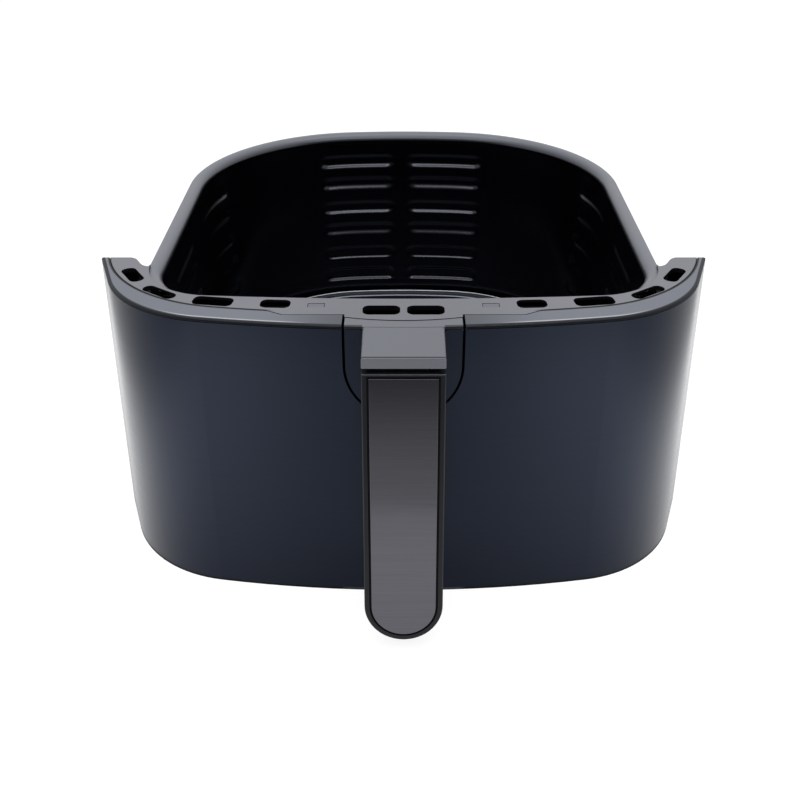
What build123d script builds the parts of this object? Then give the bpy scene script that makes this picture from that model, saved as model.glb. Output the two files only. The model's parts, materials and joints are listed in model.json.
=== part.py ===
from build123d import *
from math import asin, atan2, cos, degrees, radians, sin, sqrt, tan
import os

# Air fryer drawer: a deep-drawn pan with a lift-out crisper plate, a wrap-round front panel
# and a cantilevered handle. Millimetres, +Z up, the handle points along -Y.
# The model is laid out with Y = 0 at the top centre of the front panel and Z = 0 on the
# table, and every solid is moved at the end so that the origin is the middle of the footprint.

# ---- driving dimensions: front panel --------------------------------------------------------
DRAWER_HEIGHT = 150.0          # table to the top of the vent bezel
PANEL_WIDTH = 302.8            # across the ears, at the top
EAR_DEPTH = 75.0               # front of the panel to the rear end of the ears
PANEL_FRONT_BOW = 21.25        # how far the front's arc rises over the panel's width
PANEL_CORNER_RADIUS = 63.0
PANEL_SIDE_ANGLE = 70.5        # direction of the panel's sides in plan
PANEL_FLARE = 1.3              # degrees that the panel widens towards the table
SKIN_THICKNESS = 0.6
SKIN_TOP_DROP = 1.5            # top of the skin below the top of the drawer
SKIN_TOP_GAP = 0.3             # dark line above the skin
SKIN_BOTTOM_LIP = 1.5          # plastic lip under the skin
COVER_WALL = 2.2
COVER_TOP_WALL = 2.4
COVER_FOOT_THICKNESS = 3.0
COVER_FOOT_WIDTH = 11.0        # inward flange at the bottom of the outer cover
EDGE_ROUND = 1.1               # rounded outer edge of the outer cover's top band

# ---- driving dimensions: vent bezel ---------------------------------------------------------
BEZEL_THICKNESS = 1.4
BEZEL_PAD = 1.0                # extra thickness where the pan's rim isn't underneath
BEZEL_SKIRT_DEPTH = 7.0
BEZEL_SKIRT_WALL = 1.6
SEAM_GAP = 0.4                 # visible joint between the bezel and its neighbours
SEAM_FRONT_INSET = 12.4        # width of the outer cover's band at the front
SEAM_EAR_INSET = 4.1           # and at the ears
SEAM_CORNER_RADIUS = 74.0
SEAM_SIDE_ANGLE = 76.5
STEP_HALF_WIDTH = 59.3         # where the bezel steps forward beside the handle
STEP_RUN = 8.2
STEP_DEPTH = 11.6              # bezel's front edge beside the handle
RIM_CLEARANCE = 0.2            # pan's rim to the covers under it
BEZEL_OVERLAP = 5.1            # how far the bezel covers the untrimmed rim at the centre
BEZEL_SIDE_OVERLAP = 1.2       # and its edge at the sides
EAR_NOTCH_DEPTH = 10.6         # ears' rear end to where the bezel leaves the pan's rim
EAR_TIP_INSET = 13.0           # from the panel's side to the S-curve's outer end
LATCH_TAB = (7.4, 3.4)         # snap tabs that show through the bezel
LATCH_TAB_X = 40.0
LATCH_TAB_EDGE_GAP = 6.6       # bezel's inner edge to the middle of a tab
LATCH_TAB_CLEARANCE = 0.25
# vents beside the handle on one side: x, distance behind the step or the seam, length, width
FRONT_VENTS = (
    (10.1, 4.7, 17.1, 9.2, 0.0),
    (58.9, 7.1, 14.0, 8.4, 3.0),
)
# vents round the corner: angle about the seam's corner, distance inside it, length, width
CORNER_VENTS = (
    (-79.4, 5.7, 19.0, 8.8, -2.1),
    (-55.8, 4.3, 19.5, 6.4, 1.3),
    (-34.4, 6.3, 17.0, 7.2, 2.9),
)
VENT_CORNER_RADIUS = 3.1

# ---- driving dimensions: pan ----------------------------------------------------------------
PAN_SIDE_INSET = 25.0          # panel's side to the pan's rim
PAN_LENGTH = 265.2             # over the rim, before it is trimmed under the bezel
PAN_FRONT_Y = 22.8             # front of the untrimmed rim
PAN_REAR_BOW = 22.0            # how far the rear arc rises over the pan's width
PAN_REAR_CORNER = 101.0
PAN_FRONT_BOW = 6.55
PAN_FRONT_CORNER = 42.0
PAN_DRAFT = 3.0
PAN_SHEET = 1.2
RIM_WIDTH = 6.7                # rim's outer edge to the inside of the wall
RIM_TRIM = 4.5                 # what is left of the rim under the bezel, to clear the vents
RIM_TRIM_SIDE = 25.4           # pan's side to the end of the trim
RIM_ROUND = 3.5                # inner edge of the rim
RIM_UNDER_ROUND = 2.5
FLOOR_ROUND = 22.0
LEDGE_HEIGHT = 43.6            # table to the ledge in the wall
LEDGE_STEP = 1.5
PLATEAU_INSET = 55.0           # rim's outer edge to the raised middle of the floor
PLATEAU_CORNER = 30.0
PLATEAU_HEIGHT = 14.0
PLATEAU_ROUND = 5.0
DENT_LENGTH = 46.5
DENT_HEIGHT = 8.0
DENT_DEPTH = 2.2
DENT_FIRST_DEPTH = 20.2        # rim to the middle of the first row
DENT_PITCH = 15.9
DENT_EAR_GAP = 30.0            # ears to the middle of the front columns
DENT_REAR_GAP = 97.0           # rear of the rim to the middle of the rear side columns
DENT_REAR_PLACE = 30.8         # middle of the drawer to the middle of a rear column

# ---- driving dimensions: crisper plate ------------------------------------------------------
CRISPER_BELOW_LEDGE = 5.2      # ledge to the top of the plate's rim
CRISPER_GAP = 3.9              # plate to wall
CRISPER_SHEET = 1.2
CRISPER_BAND = 7.0             # flat raised rim
CRISPER_EDGE_ROUND = 0.8       # inner edge of the raised rim
CRISPER_DROP = 3.2             # rim to the perforated floor
CRISPER_SKIRT = 8.0
CRISPER_HOLE_RADIUS = 3.2
CRISPER_HOLE_PITCH = 16.0
CRISPER_FINGER_RADIUS = 12.0
BUMPER_LENGTH = 18.0
BUMPER_LEG = 1.6
BUMPER_WEB = 1.6
LOOSE_CLEARANCE = 0.3          # between the crisper's pieces and the pan
FOOT_RADIUS = 6.0
FOOT_TIP_RADIUS = 4.5
FOOT_PLACE = (62.0, 68.0)      # half spacing of the four feet in X and Y
FOOT_NECK_RADIUS = 2.6
FOOT_HEAD_RADIUS = 4.2
FOOT_HEAD_HEIGHT = 1.4

# ---- driving dimensions: inner cover, bracket -----------------------------------------------
INNER_COVER_GAP = 2.5          # pan wall to inner cover
INNER_COVER_WALL = 1.8
INNER_COVER_DROP = 4.0         # pan rim to the top of the inner cover
FOOT_FLANGE_THICKNESS = 1.8
AIR_SLOT = (15.0, 5.0)
AIR_SLOT_COUNT = 9
AIR_SLOT_PITCH = 22.0
BRACKET_THICKNESS = 1.5
BRACKET_BORDER = 6.0           # round the middles of the standoffs

# ---- driving dimensions: handle -------------------------------------------------------------
SHIELD_HALF_WIDTH = 26.3       # U-shaped base of the handle
SHIELD_STRAIGHT = 20.4         # top of the drawer to the centre of the U
SHIELD_GAP = 1.2               # black joint between the base and the panel
SHIELD_PLATE = 3.1
SHIELD_TOP_EDGE = (9.1, 5.9)   # rear edge of the base's top: at its sides, at the centre
INLAY_THICKNESS = 0.9
INLAY_CLEARANCE = 0.25
HANDLE_WIDTH = 36.2
NECK_TOP_DROP = 0.2            # neck below the bezel's top
NECK_LEVEL_Y = 2.0             # neck's top is level behind this and slopes in front of it
NECK_REACH = 25.5              # panel to the crease at the neck's front
NECK_CREASE_DROP = 2.1
NECK_LIP_HEIGHT = 4.0
NECK_LIP_RUN = 1.2
NECK_ROOT_DROP = 31.0          # top of the drawer to the neck's root on the panel
NECK_WALL = 2.2
NECK_FIT = 0.1
GROOVE = 2.5                   # dark gap between the neck and the grip
GRIP_STEP = 1.5                # neck's crease to the grip's front face at its top
GRIP_TIP_HEIGHT = 11.2         # table to the tip of the grip's front face
GRIP_LEAN = 10.2               # degrees, tip further forward
GRIP_THICKNESS = 16.0
GRIP_RIM = 2.3
GRIP_TOP_WALL = 1.3
GRIP_BACK_WALL = 3.6
GRIP_BACK_ROUND = 6.0
GRIP_FRONT_ROUND = 0.7
INSERT_GROOVE = 0.85
INSERT_RECESS = 0.9
INSERT_PROUD = 0.15
CARRIER_THICKNESS = 2.5
CARRIER_FIT = 0.1
SPINE_HALF_WIDTH = 11.5
SPINE_FIT = 0.2
SPINE_END_GAP = 18.2           # end of the spine to the end of the grip

# ---- driving dimensions: fasteners ----------------------------------------------------------
M4_RADIUS = 1.95
M4_HOLE = 2.2
M4_HEAD_RADIUS = 3.4
M4_HEAD_HEIGHT = 1.9
HANDLE_SCREW_LENGTH = 22.5
HANDLE_SCREW_BORDER = 4.4      # edge of the handle's base to the middle of a screw
HANDLE_SCREW_DROP = 12.0       # top of the drawer to the upper screws
HANDLE_SCREW_ANGLE = 30.0      # lower screws, from the middle of the U
BOSS_RADIUS = 4.0
STANDOFF_RADIUS = 4.0
STANDOFF_FRONT_Y = 20.5
STANDOFF_CLEARANCE = 0.8
HEAD_CLEARANCE = 0.1
M3_RADIUS = 1.45
M3_HOLE = 1.6
M3_HEAD_RADIUS = 2.8
M3_HEAD_HEIGHT = 1.6
GRIP_SCREW_COUNT = 3
GRIP_SCREW_END_GAPS = (22.0, 30.2)
GRIP_SCREW_LENGTH = 9.0
CAP_RADIUS = 3.1
CAP_HEIGHT = 0.9
COVER_SCREW_COUNT = 5
COVER_SCREW_PITCH = 44.0
COVER_SCREW_LENGTH = 7.0
COVER_SCREW_BOSS = 3.6
BEZEL_SCREW_ANGLE = -93.0      # front screws about the seam's corner, between two vents
EAR_SCREW_INSET = (11.2, 7.5)  # panel's side and ears' rear end to the rear screws
BEZEL_BOSS_RADIUS = 2.6
BEZEL_BOSS_HEIGHT = 12.0


def arc_radius(half_width, bow):
    """Radius of an arc that rises by bow over a width."""
    return (half_width**2 + bow**2) / (2 * bow)


# ---- derived levels and places --------------------------------------------------------------
RIM_Z = DRAWER_HEIGHT - BEZEL_THICKNESS
SKIN_TOP_Z = DRAWER_HEIGHT - SKIN_TOP_DROP
CRISPER_Z = LEDGE_HEIGHT - CRISPER_BELOW_LEDGE
FLOOR_Z = PLATEAU_HEIGHT + PAN_SHEET
PANEL_SLOPE = tan(radians(PANEL_FLARE))
PAN_SLOPE = tan(radians(PAN_DRAFT))
SHIELD_CENTRE_Z = DRAWER_HEIGHT - SHIELD_STRAIGHT
INNER_COVER_TOP_Z = RIM_Z - INNER_COVER_DROP
CRISPER_INSET = RIM_WIDTH + (RIM_Z - CRISPER_Z) * PAN_SLOPE + LEDGE_STEP + CRISPER_GAP
BEZEL_EDGE_Y = PAN_FRONT_Y + BEZEL_OVERLAP
EAR_NOTCH_Y = EAR_DEPTH - EAR_NOTCH_DEPTH
NECK_ROOT_Z = DRAWER_HEIGHT - NECK_ROOT_DROP
GRIP_REACH = NECK_REACH + GRIP_STEP
GRIP_TOP_Z = DRAWER_HEIGHT - NECK_CREASE_DROP - NECK_LIP_HEIGHT - GROOVE
GRIP_LENGTH = (GRIP_TOP_Z - GRIP_TIP_HEIGHT) / cos(radians(GRIP_LEAN))
LATCH_TAB_PLACE = (LATCH_TAB_X, BEZEL_EDGE_Y - LATCH_TAB_EDGE_GAP)
PANEL_FRONT_RADIUS = arc_radius(PANEL_WIDTH / 2, PANEL_FRONT_BOW)
PAN_WIDTH = PANEL_WIDTH - 2 * PAN_SIDE_INSET
PAN_REAR_Y = PAN_FRONT_Y + PAN_LENGTH
PAN_FRONT_RADIUS = arc_radius(PAN_WIDTH / 2, PAN_FRONT_BOW)
PAN_REAR_RADIUS = arc_radius(PAN_WIDTH / 2, PAN_REAR_BOW)
PAN_FRONT_CENTRE = (0.0, PAN_FRONT_Y + PAN_FRONT_RADIUS)
PAN_REAR_CENTRE = (0.0, PAN_REAR_Y - PAN_REAR_RADIUS)
FAR = 400.0                    # longer than the drawer, for cutting blocks
OVERRUN = 25.0                 # how far outlines run on behind the ears before trimming


# ---- outlines in plan -----------------------------------------------------------------------
def box_between(low, high):
    """Block between two opposite corners."""
    size = [high[i] - low[i] for i in range(3)]
    middle = [(high[i] + low[i]) / 2 for i in range(3)]
    return Pos(*middle) * Box(*size)


def wrap_corner(half_width, depth, front_y, front_radius, corner_radius, side_angle):
    """Centre of the arc that joins a straight side to the front arc."""
    turn = radians(side_angle)
    along = (cos(turn), sin(turn))
    centre_y = front_y + front_radius
    start = (half_width - corner_radius * sin(turn), depth + corner_radius * cos(turn) - centre_y)
    gap = front_radius - corner_radius
    projected = start[0] * along[0] + start[1] * along[1]
    slide = -projected - sqrt(projected**2 - start[0] ** 2 - start[1] ** 2 + gap**2)
    return start[0] + slide * along[0], start[1] + slide * along[1] + centre_y


def wrap_face(half_width, depth, front_y, front_radius, corner_radius, side_angle):
    """Face inside a front arc, two corner arcs and two straight sides, closed at the rear."""
    turn = radians(side_angle)
    centre_y = front_y + front_radius
    corner = wrap_corner(half_width, depth, front_y, front_radius, corner_radius, side_angle)
    joint_angle = degrees(atan2(corner[1] - centre_y, corner[0]))
    rear = (half_width + OVERRUN / tan(turn), depth + OVERRUN)
    with BuildSketch() as sketch:
        with BuildLine():
            front = CenterArc((0, centre_y), front_radius, -180 - joint_angle, 180 + 2 * joint_angle)
            right = CenterArc(corner, corner_radius, joint_angle, side_angle - 90 - joint_angle)
            left = CenterArc((-corner[0], corner[1]), corner_radius, 270 - side_angle,
                             side_angle - 90 - joint_angle)
            Line(right @ 1, rear)
            Line(rear, (-rear[0], rear[1]))
            Line((-rear[0], rear[1]), left @ 0)
        make_face()
    return sketch.sketch.face()


def panel_face(inset, z):
    """Outline of the front panel, set in from its outer surface at a height."""
    inward = inset - (DRAWER_HEIGHT - z) * PANEL_SLOPE
    half_width = PANEL_WIDTH / 2 - inward / sin(radians(PANEL_SIDE_ANGLE))
    return wrap_face(half_width, EAR_DEPTH, inward, PANEL_FRONT_RADIUS - inward,
                     PANEL_CORNER_RADIUS - inward, PANEL_SIDE_ANGLE)


def panel_block(inset, low_z, high_z):
    """Solid inside the panel's outer surface, set in by inset and cut off behind the ears."""
    face = Pos(0, 0, low_z) * panel_face(inset, low_z)
    block = Solid.extrude_taper(face, (0, 0, high_z - low_z), PANEL_FLARE)
    return block - box_between((-FAR, EAR_DEPTH, -FAR), (FAR, FAR, FAR))


def seam_outline(grow):
    """Sizes of the joint between the outer cover's band and the bezel, grown all round."""
    ear_half = PANEL_WIDTH / 2 - SEAM_EAR_INSET + grow / sin(radians(SEAM_SIDE_ANGLE))
    front_y = SEAM_FRONT_INSET - grow
    front_radius = PANEL_FRONT_RADIUS - front_y
    return ear_half, EAR_DEPTH, front_y, front_radius, SEAM_CORNER_RADIUS + grow, SEAM_SIDE_ANGLE


def seam_face(grow):
    """Face inside the seam."""
    return wrap_face(*seam_outline(grow))


def inside_seam(angle, inset):
    """Point at an angle about the seam's right corner, set in from the seam."""
    x, y = wrap_corner(*seam_outline(0))
    reach = SEAM_CORNER_RADIUS - inset
    return x + reach * cos(radians(angle)), y + reach * sin(radians(angle))


def seam_front_y(x):
    """Y of the seam's front arc."""
    radius = PANEL_FRONT_RADIUS - SEAM_FRONT_INSET
    return PANEL_FRONT_RADIUS - sqrt(radius**2 - x**2)


def pan_face(inset):
    """Closed outline of the pan, set in from the rim's outer edge."""
    half = PAN_WIDTH / 2
    rear_x = half - PAN_REAR_CORNER
    rear_y = PAN_REAR_CENTRE[1] + sqrt((PAN_REAR_RADIUS - PAN_REAR_CORNER) ** 2 - rear_x**2)
    front_x = half - PAN_FRONT_CORNER
    front_y = PAN_FRONT_CENTRE[1] - sqrt((PAN_FRONT_RADIUS - PAN_FRONT_CORNER) ** 2 - front_x**2)
    rear_joint = degrees(atan2(rear_y - PAN_REAR_CENTRE[1], rear_x))
    front_joint = degrees(atan2(front_y - PAN_FRONT_CENTRE[1], front_x))
    side = half - inset
    with BuildSketch() as sketch:
        with BuildLine():
            CenterArc(PAN_FRONT_CENTRE, PAN_FRONT_RADIUS - inset, -180 - front_joint,
                      180 + 2 * front_joint)
            CenterArc((front_x, front_y), PAN_FRONT_CORNER - inset, front_joint, -front_joint)
            Line((side, front_y), (side, rear_y))
            CenterArc((rear_x, rear_y), PAN_REAR_CORNER - inset, 0, rear_joint)
            CenterArc(PAN_REAR_CENTRE, PAN_REAR_RADIUS - inset, rear_joint, 180 - 2 * rear_joint)
            CenterArc((-rear_x, rear_y), PAN_REAR_CORNER - inset, 180 - rear_joint, rear_joint)
            Line((-side, rear_y), (-side, front_y))
            CenterArc((-front_x, front_y), PAN_FRONT_CORNER - inset, 180, -front_joint)
        make_face()
    return sketch.sketch.face()


def pan_front_y(x, inset):
    """Y of the pan's front arc, set in from the rim's outer edge."""
    radius = PAN_FRONT_RADIUS - inset
    return PAN_FRONT_CENTRE[1] - sqrt(radius**2 - x**2)


def pan_prism(inset, low_z, high_z):
    """Straight-sided solid inside the pan's outline."""
    return Pos(0, 0, low_z) * extrude(pan_face(inset), high_z - low_z)


def pan_block(inset, low_z, high_z):
    """Solid that follows the draft of the pan's wall, which stands at inset at the rim."""
    start = inset + (RIM_Z - high_z) * PAN_SLOPE
    block = Solid.extrude_taper(pan_face(start), (0, 0, high_z - low_z), PAN_DRAFT)
    return Pos(0, 0, high_z) * mirror(block, Plane.XY)


def gather(shapes):
    """One compound of all the solids in a list of shapes."""
    return Compound([solid for shape in shapes for solid in shape.solids()])


def level_face(shape, z, normal_z):
    """Flat face of a shape at a height that looks up or down."""
    flat = [f for f in shape.faces().filter_by(GeomType.PLANE) if abs(f.center().Z - z) < 1e-3]
    return max((f for f in flat if f.normal_at().Z * normal_z > 0.99), key=lambda f: f.area)


# ---- pan ------------------------------------------------------------------------------------
def dent_rows():
    """Number of rows of dents that fit between the rim and the ledge."""
    room = RIM_Z - DENT_FIRST_DEPTH - LEDGE_HEIGHT - DENT_HEIGHT / 2 - PAN_SHEET
    return int(room / DENT_PITCH) + 1


def dent_stations():
    """Where the columns of dents stand on the wall: a point at the rim and its outward angle."""
    half = PAN_WIDTH / 2 - RIM_WIDTH
    corner_x = PAN_WIDTH / 2 - PAN_REAR_CORNER
    corner_y = PAN_REAR_CENTRE[1] + sqrt((PAN_REAR_RADIUS - PAN_REAR_CORNER) ** 2 - corner_x**2)
    corner_radius = PAN_REAR_CORNER - RIM_WIDTH
    rear_radius = PAN_REAR_RADIUS - RIM_WIDTH
    tilt = asin(DENT_REAR_PLACE / rear_radius)
    stations = [(DENT_REAR_PLACE, PAN_REAR_CENTRE[1] + rear_radius * cos(tilt), tilt)]
    for place in (EAR_DEPTH + DENT_EAR_GAP, PAN_REAR_Y - DENT_REAR_GAP):
        turn = max(0.0, place - corner_y) / corner_radius
        x = half if turn == 0 else corner_x + corner_radius * cos(turn)
        y = place if turn == 0 else corner_y + corner_radius * sin(turn)
        stations.append((x, y, radians(90) - turn))
    return stations + [(-x, y, -tilt) for x, y, tilt in stations]


def dent_prisms(grow):
    """Slot-shaped bars through the wall, one for each dent, grown all round."""
    reach = 14.0
    bars = []
    for x, y, tilt in dent_stations():
        outward = (sin(tilt), cos(tilt), 0)
        for row in range(dent_rows()):
            z = RIM_Z - DENT_FIRST_DEPTH - row * DENT_PITCH
            plane = Plane((x, y, z), x_dir=(cos(tilt), -sin(tilt), 0), z_dir=outward)
            slot = plane * SlotOverall(DENT_LENGTH + 2 * grow, DENT_HEIGHT + 2 * grow)
            bars.append(extrude(slot, reach, both=True))
    return gather(bars)


def pan_hull(inset, floor_z, ledge_z, floor_round):
    """Stepped and drafted solid of the pan, for its outside or its inside."""
    lower = pan_block(inset + LEDGE_STEP, floor_z, ledge_z)
    lower = fillet(level_face(lower, floor_z, -1).edges(), floor_round)
    return lower + pan_block(inset, ledge_z, RIM_Z)


def plateau(grow, low_z, high_z, edge_round):
    """Raised middle of the floor, grown all round."""
    length = PAN_REAR_Y - PAN_FRONT_Y - 2 * PLATEAU_INSET + 2 * grow
    width = PAN_WIDTH - 2 * PLATEAU_INSET + 2 * grow
    outline = RectangleRounded(width, length, PLATEAU_CORNER + grow)
    block = Pos(0, crisper_middle_y(), low_z) * extrude(outline, high_z - low_z)
    return fillet(level_face(block, high_z, 1).edges(), edge_round)


def rim_trim():
    """What is cut away from the rim at the front, to leave room for the vents."""
    half = PAN_WIDTH / 2 - RIM_TRIM_SIDE
    zone = box_between((-half, -FAR, RIM_Z - 2 * RIM_UNDER_ROUND), (half, crisper_middle_y(), FAR))
    return zone - pan_prism(RIM_WIDTH - RIM_TRIM, -FAR, FAR)


def pan():
    outside = RIM_WIDTH - PAN_SHEET
    body = pan_hull(outside, 0, LEDGE_HEIGHT - PAN_SHEET, FLOOR_ROUND + PAN_SHEET)
    body += pan_prism(0, RIM_Z - PAN_SHEET, RIM_Z)
    under_rim = level_face(body, RIM_Z - PAN_SHEET, -1).inner_wires()[0].edges()
    body = fillet(under_rim, RIM_UNDER_ROUND)
    dent_top = RIM_Z - 2 * PAN_SHEET - RIM_UNDER_ROUND
    body += dent_prisms(PAN_SHEET) & pan_block(outside - DENT_DEPTH, LEDGE_HEIGHT - PAN_SHEET, dent_top)
    body -= pan_hull(RIM_WIDTH, PAN_SHEET, LEDGE_HEIGHT, FLOOR_ROUND)
    body -= dent_prisms(0) & pan_block(RIM_WIDTH - DENT_DEPTH, LEDGE_HEIGHT, dent_top)
    body = fillet(level_face(body, RIM_Z, 1).inner_wires()[0].edges(), RIM_ROUND)
    body += plateau(0, PAN_SHEET / 2, FLOOR_Z, PLATEAU_ROUND)
    body -= plateau(-PAN_SHEET, -PAN_SHEET, PLATEAU_HEIGHT, PLATEAU_ROUND - PAN_SHEET)
    return body - rim_trim()


# ---- crisper plate --------------------------------------------------------------------------
def crisper_middle_y():
    return (PAN_FRONT_Y + PAN_REAR_Y) / 2


def foot_places():
    middle = crisper_middle_y()
    return [(sx * FOOT_PLACE[0], middle + sy * FOOT_PLACE[1]) for sy in (-1, 1) for sx in (-1, 1)]


def crisper_holes(floor_z):
    """Air holes in a grid, clear of the rim, the feet and the finger hole."""
    middle = crisper_middle_y()
    field = pan_face(CRISPER_INSET + CRISPER_BAND + 2 * CRISPER_HOLE_RADIUS)
    count = int(PAN_WIDTH / CRISPER_HOLE_PITCH) + 3
    keep_off = [(x, y, FOOT_HEAD_RADIUS) for x, y in foot_places()]
    keep_off.append((0, middle, CRISPER_FINGER_RADIUS))
    holes = [Pos(0, middle, floor_z) * Cylinder(CRISPER_FINGER_RADIUS, 3 * CRISPER_SHEET)]
    for place in GridLocations(CRISPER_HOLE_PITCH, CRISPER_HOLE_PITCH, count, count):
        x = place.position.X
        y = place.position.Y + middle
        clear = all((x - kx) ** 2 + (y - ky) ** 2 > (kr + 1.6 * CRISPER_HOLE_RADIUS) ** 2
                    for kx, ky, kr in keep_off)
        if clear and field.is_inside(Vector(x, y, 0)):
            holes.append(Pos(x, y, floor_z) * Cylinder(CRISPER_HOLE_RADIUS, 3 * CRISPER_SHEET))
    for x, y in foot_places():
        holes.append(Pos(x, y, floor_z) * Cylinder(FOOT_NECK_RADIUS, 3 * CRISPER_SHEET))
    return gather(holes)


def crisper_plate():
    low_z = CRISPER_Z - CRISPER_SKIRT
    floor_z = CRISPER_Z - CRISPER_DROP
    recess = CRISPER_INSET + CRISPER_BAND
    body = pan_prism(CRISPER_INSET, low_z, CRISPER_Z)
    body = fillet(level_face(body, CRISPER_Z, 1).edges(), CRISPER_SHEET)
    body -= pan_prism(CRISPER_INSET + CRISPER_SHEET, low_z, CRISPER_Z - CRISPER_SHEET)
    body += pan_prism(recess - CRISPER_SHEET, floor_z - CRISPER_SHEET, CRISPER_Z - CRISPER_SHEET / 2)
    body -= pan_prism(recess, floor_z, CRISPER_Z)
    inner_edge = level_face(body, CRISPER_Z, 1).inner_wires()[0].edges()
    body = fillet(inner_edge, CRISPER_EDGE_ROUND)
    return body - crisper_holes(floor_z - CRISPER_SHEET / 2)


def crisper_bumper_ring():
    """Silicone section that clips round the plate's skirt, all the way round."""
    low_z = CRISPER_Z - CRISPER_SKIRT - BUMPER_WEB
    inside = CRISPER_INSET + CRISPER_SHEET
    ring = pan_block(RIM_WIDTH + LEDGE_STEP + LOOSE_CLEARANCE, low_z, CRISPER_Z)
    ring -= pan_prism(inside + BUMPER_LEG, -FAR, FAR)
    ring -= pan_prism(CRISPER_INSET, CRISPER_Z - CRISPER_SKIRT, FAR) - pan_prism(inside, -FAR, FAR)
    return ring - pan_prism(inside, CRISPER_Z - 2 * CRISPER_SHEET, FAR)


def crisper_bumpers():
    """Four bumpers, in the middle of each side of the plate."""
    ring = crisper_bumper_ring()
    half = BUMPER_LENGTH / 2
    middle = crisper_middle_y()
    cuts = {
        "front": box_between((-half, -FAR, 0), (half, middle, FAR)),
        "rear": box_between((-half, middle, 0), (half, FAR, FAR)),
        "left": box_between((-FAR, middle - half, 0), (0, middle + half, FAR)),
        "right": box_between((0, middle - half, 0), (FAR, middle + half, FAR)),
    }
    return {"crisper_bumper_" + side: ring & cut for side, cut in cuts.items()}


def crisper_foot(x, y):
    """Silicone foot, pushed through the plate."""
    floor_z = CRISPER_Z - CRISPER_DROP
    under_z = floor_z - CRISPER_SHEET
    length = under_z - FLOOR_Z - LOOSE_CLEARANCE
    cone = Pos(x, y, under_z - length / 2) * Cone(FOOT_TIP_RADIUS, FOOT_RADIUS, length)
    neck = Pos(x, y, under_z + CRISPER_SHEET / 2) * Cylinder(FOOT_NECK_RADIUS, CRISPER_SHEET)
    head = Pos(x, y, floor_z + FOOT_HEAD_HEIGHT / 2) * Cylinder(FOOT_HEAD_RADIUS, FOOT_HEAD_HEIGHT)
    return cone + neck + head


# ---- handle base outline --------------------------------------------------------------------
def shield_prism(grow, low_y=-20.0, high_y=20.0):
    """U-shaped bar along Y, for the handle's base and the notch that it sits in."""
    half = SHIELD_HALF_WIDTH + grow
    bar = Pos(0, 0, SHIELD_CENTRE_Z) * Rot(90, 0, 0) * Cylinder(half, FAR)
    bar += box_between((-half, -FAR / 2, SHIELD_CENTRE_Z), (half, FAR / 2, DRAWER_HEIGHT + 5))
    return bar & box_between((-FAR, low_y, -FAR), (FAR, high_y, FAR))


def panel_front_y(x, z, inset):
    """Y of the panel's surface, set in by inset, near the middle of the front."""
    inward = inset - (DRAWER_HEIGHT - z) * PANEL_SLOPE
    radius = PANEL_FRONT_RADIUS - inward
    return inward + radius - sqrt(radius**2 - x**2)


# ---- bezel ----------------------------------------------------------------------------------
def bezel_front_face(gap):
    """Part of the bezel in front of the seam's arc, beside and behind the handle's base."""
    seam_y = seam_front_y(STEP_HALF_WIDTH + STEP_RUN / 2)
    outer = STEP_HALF_WIDTH + STEP_RUN / 2 - gap
    inner = STEP_HALF_WIDTH - STEP_RUN / 2 - gap
    rear_y = seam_y + 4
    neck = SHIELD_HALF_WIDTH + SHIELD_GAP / 4
    side_y, middle_y = SHIELD_TOP_EDGE
    with BuildSketch() as sketch:
        with BuildLine():
            Polyline((-neck, side_y + gap), (-neck, STEP_DEPTH + gap), (-inner, STEP_DEPTH + gap),
                     (-outer, seam_y + gap), (-outer, rear_y), (outer, rear_y),
                     (outer, seam_y + gap), (inner, STEP_DEPTH + gap), (neck, STEP_DEPTH + gap),
                     (neck, side_y + gap))
            ThreePointArc((neck, side_y + gap), (0, middle_y + gap), (-neck, side_y + gap))
        make_face()
    return sketch.sketch.face()


def bezel_inside_face():
    """The opening inside the bezel: its front edge, its corners and the S-curves at the ears."""
    side_x = PAN_WIDTH / 2 - BEZEL_SIDE_OVERLAP
    radius = PAN_FRONT_RADIUS
    edge_corner = PAN_FRONT_CORNER - RIM_WIDTH
    corner_x = side_x - edge_corner
    centre_y = BEZEL_EDGE_Y + radius
    corner_y = centre_y - sqrt((radius - edge_corner) ** 2 - corner_x**2)
    joint = degrees(atan2(corner_y - centre_y, corner_x))
    tip = (PANEL_WIDTH / 2 - EAR_TIP_INSET, EAR_DEPTH + 0.2)
    with BuildSketch() as sketch:
        with BuildLine():
            CenterArc((0, centre_y), radius, -180 - joint, 180 + 2 * joint)
            for sign in (1, -1):
                start = joint if sign > 0 else 180
                arc = CenterArc((sign * corner_x, corner_y), edge_corner, start, -joint)
                foot = arc @ (1 if sign > 0 else 0)
                bend = (sign * (side_x + 0.6), EAR_NOTCH_Y)
                Line(foot, bend)
                Spline(bend, (sign * tip[0], tip[1]), tangents=[(sign, 0.15), (sign, 0.0)])
                Line((sign * tip[0], tip[1]), (sign * tip[0], FAR))
            Line((-tip[0], FAR), (tip[0], FAR))
        make_face()
    return sketch.sketch.face()


def bezel_plan(low_z, high_z, gap):
    """Bezel's outline as a solid, with gap of clearance to the outer cover."""
    height = high_z - low_z
    plate = Pos(0, 0, low_z) * extrude(seam_face(-gap), height)
    plate += Pos(0, 0, low_z) * extrude(bezel_front_face(gap), height)
    return plate - box_between((-FAR, EAR_DEPTH, -FAR), (FAR, FAR, FAR))


def vent_places():
    """Middle and turn of each vent on the right side, with its length and width."""
    places = []
    for x, inset, length, width, turn in FRONT_VENTS:
        edge_y = STEP_DEPTH if x < STEP_HALF_WIDTH - STEP_RUN else seam_front_y(x)
        places.append((x, edge_y + inset, length, width, turn))
    for angle, inset, length, width, extra in CORNER_VENTS:
        x, y = inside_seam(angle, inset)
        places.append((x, y, length, width, angle + 90 + extra))
    return places


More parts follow.
